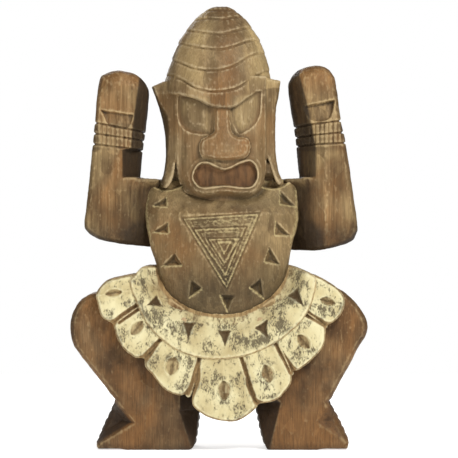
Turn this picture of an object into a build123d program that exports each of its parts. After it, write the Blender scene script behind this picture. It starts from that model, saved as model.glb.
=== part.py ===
from build123d import *

import os

# A squatting tiki figure of glued and doweled hardwood blocks, about one metre tall.
# The front faces -Y, +Z is up and the soles stand on z = 0.
# Left and right are the figure's own, so its left arm is on +X.
# Every place below is in hundredths of the figure's height, and the helpers scale it to millimetres.

FIGURE_HEIGHT = 1000.0
UNIT = FIGURE_HEIGHT / 100.0

# Depths, from the front (negative) to the back, in hundredths of the height.
TORSO_FRONT, TORSO_BACK = -11.6, 10.0
FACE_FRONT, HEAD_BACK = -10.2, 9.4
LEG_FRONT, LEG_BACK = -9.2, 8.0
SKIRT_FLARE_FRONT, SKIRT_FLARE_BACK = -13.6, 11.4
ARM_DEPTH = 8.2

HIP_HALF_WIDTH = 12.0
HIP_FLOOR, HIP_TOP = 19.0, 40.6
ANKLE = 8.8
SHOULDER = 60.7
SKIRT_CENTRE = 40.0

# Diameters of the joinery.
LARGE_DOWEL = 2.4
SMALL_DOWEL = 1.2

# How far a cut from the front reaches in before its floor is put back, and a length beyond the whole figure.
CUT_REACH = -3.0
FAR = 60.0


def slab(points, front, back, radius=0.0):
    """An outline drawn in the front view, carried from y = front to y = back."""
    corners = [(x * UNIT, z * UNIT) for x, z in points]
    face = make_face(Polyline(corners, close=True))
    if radius:
        face = fillet(face.vertices(), radius * UNIT)
    plane = Plane((0, back * UNIT, 0), x_dir=(1, 0, 0), z_dir=(0, -1, 0))
    return extrude(plane * face, (back - front) * UNIT)


def curved_slab(points, front, back):
    """The same, with one smooth closed curve through the points."""
    corners = [(x * UNIT, z * UNIT) for x, z in points]
    face = make_face(Spline(corners, periodic=True))
    plane = Plane((0, back * UNIT, 0), x_dir=(1, 0, 0), z_dir=(0, -1, 0))
    return extrude(plane * face, (back - front) * UNIT)


def oval_slab(centre_x, centre_z, radius_x, radius_z, front, back):
    """An upright oval disc that faces the front."""
    plane = Plane((centre_x * UNIT, back * UNIT, centre_z * UNIT), x_dir=(1, 0, 0), z_dir=(0, -1, 0))
    return extrude(plane * Ellipse(radius_x * UNIT, radius_z * UNIT), (back - front) * UNIT)


def column(centre_x, radius_x, radius_y, low=-1.0, high=101.0):
    """An upright oval post, which crowns what it is intersected with."""
    oval = Pos(centre_x * UNIT, 0, low * UNIT) * Ellipse(radius_x * UNIT, radius_y * UNIT)
    return extrude(oval, (high - low) * UNIT)


def roller(centre_z, radius_z, radius_y):
    """A level oval bar along X, which crowns what it is intersected with from top to bottom."""
    plane = Plane((-FAR * UNIT, 0, centre_z * UNIT), x_dir=(0, 1, 0), z_dir=(1, 0, 0))
    return extrude(plane * Ellipse(radius_y * UNIT, radius_z * UNIT), 2 * FAR * UNIT)


def block(x_range, y_range, z_range):
    """A box between two corners."""
    size = [(high - low) * UNIT for low, high in (x_range, y_range, z_range)]
    middle = [(high + low) / 2 * UNIT for low, high in (x_range, y_range, z_range)]
    return Pos(*middle) * Box(*size)


def level_dowel(x, y, z, length, diameter):
    """A dowel along X, centred on the joint at x."""
    return Pos(x * UNIT, y * UNIT, z * UNIT) * Rot(0, 90, 0) * Cylinder(
        diameter / 2 * UNIT, length * UNIT)


def upright_dowel(x, y, z, length, diameter):
    """A dowel along Z, centred on the joint at z."""
    return Pos(x * UNIT, y * UNIT, z * UNIT) * Cylinder(diameter / 2 * UNIT, length * UNIT)


def facing_dowel(x, y, z, length, diameter):
    """A dowel along Y, centred on the joint at y."""
    return Pos(x * UNIT, y * UNIT, z * UNIT) * Rot(90, 0, 0) * Cylinder(
        diameter / 2 * UNIT, length * UNIT)


def shrunk(points, keep, keep_height=None):
    """The same outline drawn in towards its own middle, by another share in height if one is given."""
    middle_x = sum(x for x, _ in points) / len(points)
    middle_z = sum(z for _, z in points) / len(points)
    keep_z = keep if keep_height is None else keep_height
    return [(middle_x + (x - middle_x) * keep, middle_z + (z - middle_z) * keep_z) for x, z in points]


# ---------------------------------------------------------------- head

CAP_AXIS = -0.9
CAP_DEPTH_RATIO = 0.92
CAP_SAG = 17.0
CAP_STEP = 0.4
# Height at the temples and half width at the foot of each tier of the cap, lowest tier first.
CAP_TIERS = [(79.4, 12.3), (84.9, 11.6), (88.0, 10.8), (91.4, 9.4), (94.8, 7.2), (97.2, 5.2), (99.0, 3.2)]
CAP_TOP = 99.8
CAP_TOP_HALF_WIDTH = 0.8

FACE_OUTLINE = [
    (-10.8, 82), (-10.8, 78), (-10.4, 63.4), (-9.3, 59), (-6.3, 56.9), (0, 55.5),
    (7.4, 57.3), (9.4, 60.3), (10.6, 64.1), (10.2, 78), (9.8, 82)]
FACE_HALF_WIDTH = 13.4

EYE_OUTLINES = [
    [(-9.9, 78.6), (-9.7, 74), (-7.7, 71.1), (-2.5, 70.9), (-2.0, 77.2)],
    [(2.0, 77.2), (3.4, 70.4), (6.3, 72), (8.9, 75.6), (8.9, 79.7)]]
EYE_DEPTH = 1.3
EYE_CORNER = 0.6

NOSE_OUTLINE = [
    (-1.6, 78), (1.6, 78), (1.9, 73), (6.0, 70), (5.6, 66.1), (0.5, 65),
    (-4.1, 65.9), (-4.8, 69.6), (-1.6, 73)]
NOSE_TIP, NOSE_ROOT = -13.0, -7.0
# The nose seen from the side, as places along Y and Z.
NOSE_PROFILE = [
    (NOSE_ROOT, 78), (-10.0, 77.4), (NOSE_TIP, 68.5), (NOSE_TIP, 66.8), (-10.6, 65), (NOSE_ROOT, 65)]

MOUTH_OUTLINE = [
    (-6.8, 61.6), (-4.1, 64.3), (0.5, 63.2), (6.1, 64.6), (8.4, 61.6), (5.4, 57.8), (0.7, 58.5), (-4.1, 58)]
LIP_FRONT, LIP_ROOT = -11.4, -4.0
MOUTH_DEPTH = 2.0
# The opening's share of the lips' width and height.
MOUTH_OPENING = (0.86, 0.71)

EAR_OUTLINES = [
    [(-10, 83.1), (-12.9, 83.1), (-16, 81.9), (-14, 77.2), (-13.1, 72.4), (-12.9, 63.6),
     (-14.2, 60.7), (-12.4, 58.7), (-11.2, 61), (-10, 64)],
    [(9, 83.5), (13.3, 83.3), (12.9, 80.6), (12, 75.6), (12.2, 68.2), (13.3, 61.6),
     (13.4, 59.8), (11.9, 59.8), (10.8, 62.5), (9.5, 64.5)]]
EAR_FRONT, EAR_BACK = -4.6, 3.4
CHIN_BACK = -6.0

# The stump of wood behind the ear lobes.
NECK_HALF_WIDTH = 12.0
NECK_FRONT = -3.6
NECK_TOP = 68.0


def tilted_oval(height, half_width):
    """The rim of a tier: an oval that dips at the front."""
    plane = Plane((CAP_AXIS * UNIT, 0, height * UNIT), x_dir=(1, 0, 0)).rotated((CAP_SAG, 0, 0))
    return plane * Ellipse(half_width * UNIT, half_width * CAP_DEPTH_RATIO * UNIT)


def make_cap():
    """The tall cap of sagging tiers, each one stepped in from the tier below it."""
    tops = CAP_TIERS[1:] + [(CAP_TOP, CAP_TOP_HALF_WIDTH)]
    cap = None
    for (foot, foot_width), (top, top_width) in zip(CAP_TIERS, tops):
        tier = loft([tilted_oval(foot, foot_width), tilted_oval(top, top_width - CAP_STEP / 2)])
        cap = tier if cap is None else cap + tier
    return cap


def make_head():
    """Face, cap and ears carved from one block, with a chin that laps over the chest."""
    crown = column(0, FACE_HALF_WIDTH, -FACE_FRONT)
    face = slab(FACE_OUTLINE, FACE_FRONT, HEAD_BACK) & crown
    floor = column(0, FACE_HALF_WIDTH - EYE_DEPTH, -FACE_FRONT - EYE_DEPTH)
    for outline in EYE_OUTLINES:
        face -= slab(outline, -FAR, CUT_REACH, radius=EYE_CORNER) - floor
    side_plane = Plane((-FAR * UNIT, 0, 0), x_dir=(0, 1, 0), z_dir=(1, 0, 0))
    profile = make_face(Polyline([(y * UNIT, z * UNIT) for y, z in NOSE_PROFILE], close=True))
    nose = slab(NOSE_OUTLINE, NOSE_TIP, NOSE_ROOT) & extrude(side_plane * profile, 2 * FAR * UNIT)
    lips = curved_slab(MOUTH_OUTLINE, LIP_FRONT, LIP_ROOT)
    cavity = curved_slab(shrunk(MOUTH_OUTLINE, *MOUTH_OPENING), -FAR, LIP_FRONT + MOUTH_DEPTH)
    head = face + make_cap() + nose + lips - cavity
    for outline in EAR_OUTLINES:
        head += slab(outline, EAR_FRONT, EAR_BACK)
    head += block((-NECK_HALF_WIDTH, NECK_HALF_WIDTH), (NECK_FRONT, EAR_BACK), (SHOULDER, NECK_TOP))
    head -= block((-FAR, FAR), (CHIN_BACK, FAR), (0, SHOULDER))
    return head


# ---------------------------------------------------------------- torso

TORSO_OUTLINE = [
    (-16.7, 60.7), (-17.4, 53.7), (-16.3, 46.5), (-14.9, 42.2), (-14.2, 38.8), (-13.1, 35.9),
    (-10.4, 33.2), (-5.9, 30.9), (-0.5, 30.0), (4.5, 30.5), (9.0, 32.5), (12.6, 35.4),
    (14.4, 38.8), (15.3, 43.6), (16.0, 46.9), (17.2, 51.5), (17.2, 60.7)]
TORSO_HALF_WIDTH = 21.0
BELLY_HEIGHT = 42.0
BELLY_HALF_HEIGHT = 28.0

CHEST_TRIANGLES = [
    [(-8.8, 51.9), (8.8, 53.0), (1.1, 36.3)],
    [(-6.5, 49.9), (5.2, 50.3), (0.9, 38.8)],
    [(-3.4, 47.6), (4.1, 48.1), (0.5, 41.5)]]
INCISED_WIDTH = 0.55
INCISED_DEPTH = 0.35

CHEST_CHIPS = [
    (-13.8, 55.3), (-12.9, 49.4), (-11.1, 42.2), (-6.3, 36.1), (1.1, 33.4),
    (8.1, 36.1), (11.3, 42.9), (13.1, 49.0), (13.8, 55.7)]
CHIP_SIZE = 1.6
CHIP_DEPTH = 0.9


def triangle_about(x, z, size):
    """A triangle that points down, as one chip cut."""
    return [(x - size, z + 0.7 * size), (x + size, z + 0.7 * size), (x, z - 1.1 * size)]


def make_torso():
    """The shield-shaped body, crowned both ways, with incised triangles and chip cuts."""
    half_depth = -TORSO_FRONT

    def crowned(inset):
        return (column(0, TORSO_HALF_WIDTH - inset, half_depth - inset)
                & roller(BELLY_HEIGHT, BELLY_HALF_HEIGHT - inset, half_depth - inset))

    torso = slab(TORSO_OUTLINE, TORSO_FRONT, TORSO_BACK) & crowned(0)
    torso -= slab(FACE_OUTLINE, -FAR, CHIN_BACK)
    incised = crowned(INCISED_DEPTH)
    for triangle in CHEST_TRIANGLES:
        width = max(x for x, _ in triangle) - min(x for x, _ in triangle)
        inner = shrunk(triangle, 1 - 3 * INCISED_WIDTH / width)
        torso -= slab(triangle, -FAR, CUT_REACH) - slab(inner, -FAR, CUT_REACH) - incised
    chipped = crowned(CHIP_DEPTH)
    for x, z in CHEST_CHIPS:
        torso -= slab(triangle_about(x, z, CHIP_SIZE), -FAR, CUT_REACH) - chipped
    return torso


# ---------------------------------------------------------------- arms

# Outlines of the raised arms, from the shoulder joint up the inside and down the outside.
RIGHT_ARM = [
    (-14.0, 60.9), (-18.7, 61.4), (-18.3, 67), (-17.8, 71.3), (-17.2, 77), (-16.9, 81.2), (-18.8, 83.8),
    (-22.0, 85.1), (-25.2, 84.8), (-27.4, 83.0), (-28.7, 74), (-29.1, 68.2), (-30.9, 53.3), (-30.9, 50.4),
    (-29.1, 47.8), (-24.8, 46.5), (-14.0, 45.5)]
LEFT_ARM = [
    (14.0, 60.9), (17.6, 60.9), (16.9, 68.2), (16.3, 73.4), (15.3, 80.5), (16.6, 83.9),
    (19.2, 85.9), (22.6, 86.2), (25.0, 84.8), (25.9, 82.2), (26.9, 74.5), (27.9, 68.5), (30.5, 53.3), (30.8, 49.0),
    (29.3, 46.7), (21.7, 44.7), (14.0, 44.9)]
ARM_AXIS = 23.0
ARM_HALF_WIDTH = 9.6
BRACELET_GROOVES = [73.2, 71.0, 68.8]
GROOVE_WIDTH = 0.5
GROOVE_DEPTH = 0.6
BEADS = 9
BEAD_ROW_WIDTH = 13.2
BEAD_GAP = 0.3
PALM_OUTLINES = [
    [(-27.3, 76.8), (-19.6, 75.6), (-21.0, 73.9), (-25.7, 73.9)],
    [(18.0, 77.6), (25.3, 78.5), (24.4, 74.3), (20.1, 74.0)]]
PALM_DEPTH = 1.5


def make_arm(side, outline, palm):
    """An upper arm, forearm and mitten hand in one block, with two rows of beads at the wrist."""
    def crowned(inset):
        return column(side * ARM_AXIS, ARM_HALF_WIDTH - inset, ARM_DEPTH - inset)

    arm = slab(outline, -ARM_DEPTH, ARM_DEPTH) & crowned(0)
    for height in BRACELET_GROOVES:
        band = block((-FAR, FAR), (-FAR, FAR), (height - GROOVE_WIDTH / 2, height + GROOVE_WIDTH / 2))
        arm -= band - crowned(GROOVE_DEPTH)
    step = BEAD_ROW_WIDTH / BEADS
    for upper, lower in zip(BRACELET_GROOVES, BRACELET_GROOVES[1:]):
        for bead in range(BEADS):
            x = side * ARM_AXIS + (bead + 0.5 - BEADS / 2) * step
            notch = block((x - BEAD_GAP / 2, x + BEAD_GAP / 2), (-FAR, 0), (lower, upper))
            arm -= notch - crowned(GROOVE_DEPTH / 2)
    arm -= slab(palm, -FAR, 0) - crowned(PALM_DEPTH)
    return arm


# ---------------------------------------------------------------- legs, feet and hips

RIGHT_LEG = [
    (-12.0, 37.6), (-20.0, 36.4), (-26.0, 35.6), (-29.3, 34.8), (-32.4, 32.2), (-34.1, 28.9), (-34.1, 26.6),
    (-32.7, 22.3), (-23.9, 11.3), (-21.8, 8.8), (-5.2, 8.8), (-5.0, 19.0), (-12.0, 19.0)]
LEFT_LEG = [
    (12.0, 37.6), (20.0, 36.4), (25.0, 36.0), (27.5, 35.2), (31.0, 31.6), (32.7, 28.0), (32.0, 25.3),
    (30.5, 22.8), (24.1, 11.2), (22.6, 8.8), (7.8, 8.8), (7.0, 19.0), (12.0, 19.0)]
RIGHT_FOOT = [
    (-5.2, 8.8), (-6.1, 1.4), (-7.4, 0), (-27.9, 0), (-28.4, 0.9), (-26.6, 5.6), (-24.2, 11.0), (-21.8, 8.8)]
LEFT_FOOT = [
    (7.8, 8.8), (9.7, 1.1), (10.8, 0), (28.1, 0), (28.9, 1.4), (26.4, 7.0), (24.4, 10.8), (22.6, 8.8)]
EDGE_BEVEL = 1.4
TOE_GROOVES = 4
TOE_GROOVE_RADIUS = 0.6
# How far each toe groove's axis lies outside the foot's sloping top.
TOE_GROOVE_LIFT = 0.35
# The toes' front is set back by a step that ends along this line, drawn for the figure's left foot.
TOE_STEP = [(30.0, 12.0), (23.0, 12.0), (23.0, 9.0), (19.4, 6.0), (30.0, 0.8)]
TOE_SETBACK = 2.5


def bevelled(points, front, back, bevel):
    """A slab whose front and back edges are cut away all round."""
    body = slab(points, front, back)
    faces = body.faces().sort_by(Axis.Y)
    return chamfer(faces[0].edges() + faces[-1].edges(), bevel * UNIT)


def make_leg(outline):
    """Thigh and shin in one block, with the knee out to the side."""
    return bevelled(outline, LEG_FRONT, LEG_BACK, EDGE_BEVEL)


def make_foot(side, outline):
    """A splayed foot with toes cut across its sloping top."""
    foot = slab(outline, LEG_FRONT, LEG_BACK)
    heel, toe = outline[-2], outline[4]
    for index in range(TOE_GROOVES):
        share = (index + 0.8) / (TOE_GROOVES + 0.6)
        x = heel[0] + (toe[0] - heel[0]) * share + side * TOE_GROOVE_LIFT
        z = heel[1] + (toe[1] - heel[1]) * share + TOE_GROOVE_LIFT
        foot -= Pos(x * UNIT, 0, z * UNIT) * Rot(90, 0, 0) * Cylinder(TOE_GROOVE_RADIUS * UNIT, FAR * UNIT)
    step = [(side * x, z) for x, z in TOE_STEP]
    return foot - slab(step, LEG_FRONT - 1, LEG_FRONT + TOE_SETBACK)


def make_hips():
    """The hidden block that the body, both thighs and the skirt are fixed to."""
    return block((-HIP_HALF_WIDTH, HIP_HALF_WIDTH), (LEG_FRONT, LEG_BACK), (HIP_FLOOR, HIP_TOP))


# ---------------------------------------------------------------- skirt

SKIRT_REACH = 34.0
SKIRT_FLARE = 0.15
TIER_STEP = 0.7
UPPER_TIER_TOP, LOWER_TIER_TOP = 40.7, 38.6
UPPER_TIER_RADII = (21.0, 20.0)
# The petals' tier is hollow over the legs and hips out to this distance from the middle.
SKIRT_HOLLOW = 20.0
UPPER_CHIPS = [(-15.6, 32.5), (-7.9, 26.9), (0.9, 24.6), (9.3, 26.6), (16.7, 33.4)]

# One petal each, from the figure's right round under the belly to its left.
PETALS = [
    [(-20.5, 38.6), (-26.0, 37.2), (-27.8, 35.2), (-25.5, 28.9), (-20.3, 31.4)],
    [(-19.8, 30.7), (-23.9, 27.5), (-22.3, 22.6), (-18.1, 20.8), (-14.4, 24.4)],
    [(-13.8, 23.6), (-16.9, 19.2), (-14.0, 15.1), (-8.4, 12.0), (-5.4, 20.2)],
    [(-4.9, 20.2), (-6.8, 10.8), (-2.3, 7.7), (2.0, 6.5), (6.1, 7.9), (7.7, 9.9), (4.9, 20.2)],
    [(5.5, 20.2), (8.4, 10.4), (12.4, 11.3), (15.1, 16.7), (12.4, 22.8)],
    [(12.9, 23.2), (18.3, 18.7), (22.8, 23.5), (23.0, 26.9), (19.6, 29.8)],
    [(19.9, 30.5), (24.6, 28.4), (27.1, 31.8), (27.1, 34.8), (21.7, 38.2)]]
PETAL_MARGIN = 1.12
PETAL_CORNER = 0.8
PETAL_RISE = 1.2
# Centre of the dimple in each petal, and the angle of its long axis from level.
DIMPLES = [(-24.6, 35.4, 0), (-19.6, 26.9, 50), (-11.3, 18.7, 75), (0.5, 13.3, 90),
           (10.2, 16.9, 105), (18.7, 23.9, 130), (24.0, 33.6, 170)]
DIMPLE_LENGTH = 3.6
DIMPLE_WIDTH = 2.2
DIMPLE_DEPTH = 0.9


def flared(rim_depth, inset, outwards):
    """A wide dish about the skirt's centre that is deeper at its rim than at its middle."""
    middle = (rim_depth - SKIRT_FLARE * SKIRT_REACH - inset) * UNIT
    rim = (rim_depth - inset) * UNIT
    reach = SKIRT_REACH * UNIT
    section = make_face(Polyline([(0, 0), (0, middle), (reach, rim), (reach, 0)], close=True))
    plane = Plane((0, 0, SKIRT_CENTRE * UNIT), x_dir=(1, 0, 0), z_dir=(0, 0, 1))
    dish = revolve(plane * section, Axis((0, 0, SKIRT_CENTRE * UNIT), (0, 1, 0)))
    return dish if outwards > 0 else mirror(dish, Plane.XZ)


def almond(x, z, angle, front, back):
    """An oval cutter that faces the front, with its long axis turned up from level."""
    plane = Plane((x * UNIT, back * UNIT, z * UNIT), x_dir=(1, 0, 0), z_dir=(0, -1, 0))
    oval = plane * Rot(0, 0, angle) * Ellipse(DIMPLE_LENGTH / 2 * UNIT, DIMPLE_WIDTH / 2 * UNIT)
    return extrude(oval, (back - front) * UNIT)


def make_upper_tier(outwards):
    """The band that follows the belly, with a row of chip cuts. It sits on the petals' upper ends."""
    rim_depth = SKIRT_FLARE_BACK if outwards > 0 else -SKIRT_FLARE_FRONT
    low, high = (0, FAR) if outwards > 0 else (-FAR, 0)
    tier = oval_slab(0, SKIRT_CENTRE, *UPPER_TIER_RADII, low, high) & flared(rim_depth + TIER_STEP, 0, outwards)
    tier -= block((-FAR, FAR), (-FAR, FAR), (UPPER_TIER_TOP, UPPER_TIER_TOP + FAR))
    tier -= slab(TORSO_OUTLINE, low, high)
    floor = flared(rim_depth + TIER_STEP, CHIP_DEPTH, outwards)
    for x, z in UPPER_CHIPS:
        tier -= slab(triangle_about(x, z, CHIP_SIZE), low, high) - floor
    return tier


def make_lower_tier(outwards):
    """The fan of petals, joined edge to edge behind the grooves between them."""
    rim_depth = SKIRT_FLARE_BACK if outwards > 0 else -SKIRT_FLARE_FRONT
    low, high = (0, FAR) if outwards > 0 else (-FAR, 0)
    surface = flared(rim_depth, 0, outwards)
    web_surface = flared(rim_depth, PETAL_RISE, outwards)
    dimple_floor = flared(rim_depth, DIMPLE_DEPTH, outwards)
    tier = oval_slab(0, SKIRT_CENTRE, *UPPER_TIER_RADII, low, high) & web_surface
    for petal, (x, z, angle) in zip(PETALS, DIMPLES):
        tier += slab(petal, low, high, radius=PETAL_CORNER) & surface
        tier += slab(shrunk(petal, PETAL_MARGIN), low, high) & web_surface
        tier -= almond(x, z, angle, low, high) - dimple_floor
    tier -= block((-FAR, FAR), (-FAR, FAR), (LOWER_TIER_TOP, LOWER_TIER_TOP + FAR))
    inner = (LEG_FRONT, 0) if outwards < 0 else (0, LEG_BACK)
    tier -= block((-SKIRT_HOLLOW, SKIRT_HOLLOW), inner, (0, SKIRT_CENTRE))
    tier -= slab(TORSO_OUTLINE, low, high)
    return tier


# ---------------------------------------------------------------- joinery

# Places of the dowels on the figure's left, each with a twin on its right.
NECK_DOWELS = [(4.5, 1.0, SHOULDER)]
WAIST_DOWELS = [(5.0, 0, 31.5)]
SHOULDER_DOWELS = [(17.0, 0, 49.5), (17.0, 0, 56.5)]
THIGH_DOWELS = [(HIP_HALF_WIDTH, 0, 23.5), (HIP_HALF_WIDTH, 0, 28.5)]
ANKLE_DOWELS = [(11.5, 0, ANKLE), (18.0, 0, ANKLE)]
SKIRT_DOWELS = [(x, y, z) for x, z in ((8.5, 29.2), (11.5, 17.0), (20.5, 27.5)) for y in (LEG_FRONT, LEG_BACK)]


def both_sides(places, make, length, diameter):
    """A dowel of one kind at each place, and its twin on the other side."""
    return [make(side * x, y, z, length, diameter) for side in (-1, 1) for x, y, z in places]


def make_dowels():
    """Every hidden dowel, grouped by the joint that it holds."""
    return {
        "neck_dowels": both_sides(NECK_DOWELS, upright_dowel, 12, LARGE_DOWEL),
        "waist_dowels": both_sides(WAIST_DOWELS, upright_dowel, 13, LARGE_DOWEL),
        "shoulder_dowels": both_sides(SHOULDER_DOWELS, level_dowel, 8, LARGE_DOWEL),
        "thigh_dowels": both_sides(THIGH_DOWELS, level_dowel, 9, LARGE_DOWEL),
        "ankle_dowels": both_sides(ANKLE_DOWELS, upright_dowel, 9, LARGE_DOWEL),
        "skirt_dowels": both_sides(SKIRT_DOWELS, facing_dowel, 2.6, SMALL_DOWEL),
    }


def make_figure():
    """All pieces by name, fitted to each other without overlap."""
    pieces = {"head": make_head()}
    pieces["torso"] = make_torso() - pieces["head"]
    pieces["right_arm"] = make_arm(-1, RIGHT_ARM, PALM_OUTLINES[0]) - pieces["torso"] - pieces["head"]
    pieces["left_arm"] = make_arm(1, LEFT_ARM, PALM_OUTLINES[1]) - pieces["torso"] - pieces["head"]
    pieces["right_leg"] = make_leg(RIGHT_LEG) - pieces["torso"]
    pieces["left_leg"] = make_leg(LEFT_LEG) - pieces["torso"]
    pieces["right_foot"] = make_foot(-1, RIGHT_FOOT)
    pieces["left_foot"] = make_foot(1, LEFT_FOOT)
    frame = pieces["torso"] + pieces["right_leg"] + pieces["left_leg"]
    pieces["hip_block"] = make_hips() - frame
    frame += pieces["hip_block"]
    for place, outwards in (("front", -1), ("back", 1)):
        upper = make_upper_tier(outwards) - frame
        lower = make_lower_tier(outwards) - frame - upper
        pieces[f"skirt_upper_{place}"] = upper
        pieces[f"skirt_lower_{place}"] = lower
    dowels = make_dowels()
    for group in dowels.values():
        for dowel in group:
            for piece in pieces:
                pieces[piece] -= dowel
    pieces = {name: largest_solid(piece) for name, piece in pieces.items()}
    for name, group in dowels.items():
        pieces[name] = Compound(children=group)
    return pieces


def largest_solid(piece):
    """The piece without the slivers that a cut along a curved face leaves."""
    return max(piece.solids(), key=lambda solid: solid.volume)


def write(pieces):
    """Centre the figure over the origin and write one file for each piece."""
    os.makedirs("parts", exist_ok=True)
    boxes = [piece.bounding_box() for piece in pieces.values()]
    middle_x = (min(box.min.X for box in boxes) + max(box.max.X for box in boxes)) / 2
    middle_y = (min(box.min.Y for box in boxes) + max(box.max.Y for box in boxes)) / 2
    print("moved by", -middle_x, -middle_y)
    for name, piece in pieces.items():
        solids = (Pos(-middle_x, -middle_y, 0) * piece).solids()
        print(name, len(solids), [round(solid.volume / 1000) for solid in solids])
        export_step(Compound(children=solids) if len(solids) > 1 else solids[0], f"parts/{name}.step")


write(make_figure())
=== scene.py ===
import math

import bpy
import numpy as np
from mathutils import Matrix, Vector


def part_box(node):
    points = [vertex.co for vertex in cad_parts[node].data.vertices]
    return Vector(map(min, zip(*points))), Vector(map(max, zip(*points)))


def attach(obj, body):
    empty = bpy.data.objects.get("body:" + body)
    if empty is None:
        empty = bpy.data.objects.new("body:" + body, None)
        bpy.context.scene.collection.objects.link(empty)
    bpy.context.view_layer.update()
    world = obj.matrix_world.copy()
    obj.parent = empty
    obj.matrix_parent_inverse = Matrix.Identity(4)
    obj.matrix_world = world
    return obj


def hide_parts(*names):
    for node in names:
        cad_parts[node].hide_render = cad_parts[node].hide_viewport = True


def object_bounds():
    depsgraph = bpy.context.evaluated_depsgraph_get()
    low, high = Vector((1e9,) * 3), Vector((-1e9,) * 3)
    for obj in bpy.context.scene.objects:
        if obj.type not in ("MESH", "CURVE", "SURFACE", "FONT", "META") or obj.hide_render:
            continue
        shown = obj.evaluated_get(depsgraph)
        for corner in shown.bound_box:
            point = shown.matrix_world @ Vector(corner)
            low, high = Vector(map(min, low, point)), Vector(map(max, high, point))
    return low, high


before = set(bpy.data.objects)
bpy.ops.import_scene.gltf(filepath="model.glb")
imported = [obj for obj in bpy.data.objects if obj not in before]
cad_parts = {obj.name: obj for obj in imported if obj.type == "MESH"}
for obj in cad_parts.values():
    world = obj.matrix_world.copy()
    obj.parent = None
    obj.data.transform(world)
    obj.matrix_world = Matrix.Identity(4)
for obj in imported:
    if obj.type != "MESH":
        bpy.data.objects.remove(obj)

# A carved tiki figure. Each block is carved here as a solid field of distances, sampled on a grid,
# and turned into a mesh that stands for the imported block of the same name.
# Places are in hundredths of the figure's height, from the body's axis and the floor.
# The front faces -y. "Depth" is how far a surface stands in front of the axis (or behind it, at the back).

CAD_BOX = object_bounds()
HIP_LOW, HIP_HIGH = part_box("hip_block")
HEIGHT = CAD_BOX[1][2] - CAD_BOX[0][2]
UNIT = HEIGHT / 100.0
# Place of the hip block's middle, from front to back.
HIP_MIDDLE = -0.6
AXIS = Vector(((HIP_LOW.x + HIP_HIGH.x) / 2, (HIP_LOW.y + HIP_HIGH.y) / 2 - HIP_MIDDLE * UNIT, 0.0))
# Spacing of the grid.
STEP = 0.2

# ---------------------------------------------------------------- numbers from nothing but a seed


# Large odd numbers that scatter neighbouring cells, and then neighbouring seeds.
CELL_SCATTER = (73856093, 19349663, 83492791)
SEED_SCATTER = 2654435761
FINAL_SCATTER = 1274126177


def hashed(cells, seed):
    """A repeatable random number from 0 to 1 for each row of whole numbers."""
    mixed = cells[..., 0] * CELL_SCATTER[0]
    for axis in (1, 2):
        mixed = mixed ^ (cells[..., axis] * CELL_SCATTER[axis])
    mixed = mixed ^ (seed * SEED_SCATTER)
    mixed = (mixed ^ (mixed >> 13)) & 0x7FFFFFFF
    mixed = (mixed * FINAL_SCATTER) & 0x7FFFFFFFFFFF
    return ((mixed ^ (mixed >> 16)) & 0xFFFFFF) / float(0xFFFFFF)


def noise(points, seed):
    """Smooth noise from -1 to 1 with features about one unit across."""
    base = np.floor(points).astype(np.int64)
    part = points - base
    smooth = part * part * (3 - 2 * part)
    total = np.zeros(len(points))
    for corner in np.ndindex(2, 2, 2):
        weight = np.ones(len(points))
        for axis in range(3):
            weight = weight * (smooth[:, axis] if corner[axis] else 1 - smooth[:, axis])
        total += weight * hashed(base + np.array(corner), seed)
    return total * 2 - 1


def scoops(points, seed):
    """Squared distance to the nearest of scattered points, and a random number for that point."""
    base = np.floor(points).astype(np.int64)
    best = np.full(len(points), 9.0)
    chosen = np.zeros(len(points))
    for shift in np.ndindex(3, 3, 3):
        cell = base + np.array(shift) - 1
        spot = np.stack([hashed(cell, seed + axis) for axis in range(3)], axis=1)
        away = ((cell + 0.15 + 0.7 * spot - points) ** 2).sum(1)
        closer = away < best
        best = np.where(closer, away, best)
        chosen = np.where(closer, hashed(cell, seed + 7), chosen)
    return best, chosen


# ---------------------------------------------------------------- the grid and the shapes drawn on it


class Grid:
    """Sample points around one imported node. x, y and z each run along an axis of their own."""

    def __init__(self, node, margin=1.0):
        low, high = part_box(node)
        low = (np.array(low) - np.array(AXIS)) / UNIT - margin
        high = (np.array(high) - np.array(AXIS)) / UNIT + margin
        spans = [np.arange(a, b + STEP, STEP, dtype=np.float32) for a, b in zip(low, high)]
        self.low = np.array([span[0] for span in spans])
        self.x = spans[0][:, None, None]
        self.y = spans[1][None, :, None]
        self.z = spans[2][None, None, :]


def curve(points, closed=True, pieces=6):
    """A smooth line through the points. A point given twice is a sharp corner."""
    points = np.array(points, float)
    count = len(points)
    line = []
    for index in range(count if closed else count - 1):
        around = [index - 1, index, index + 1, index + 2]
        if closed:
            a, b, c, d = (points[k % count] for k in around)
        else:
            a, b, c, d = (points[min(max(k, 0), count - 1)] for k in around)
        if np.allclose(b, c):
            continue
        for t in np.arange(pieces) / pieces:
            line.append(0.5 * (2 * b + (c - a) * t + (2 * a - 5 * b + 4 * c - d) * t**2
                               + (3 * b - a - 3 * c + d) * t**3))
    if not closed:
        line.append(points[-1])
    return np.array(line)


def stroke(grid, points):
    """Distance in the front view to a line of points."""
    x, z = grid.x[:, 0, :], grid.z[0, :, :]
    best = np.full(np.broadcast_shapes(x.shape, z.shape), 1e9, np.float32)
    for (ax, az), (bx, bz) in zip(points[:-1], points[1:]):
        ex, ez = bx - ax, bz - az
        along = np.clip(((x - ax) * ex + (z - az) * ez) / max(ex * ex + ez * ez, 1e-9), 0, 1)
        best = np.minimum(best, (x - ax - along * ex) ** 2 + (z - az - along * ez) ** 2)
    return np.sqrt(best)[:, None, :]


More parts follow.
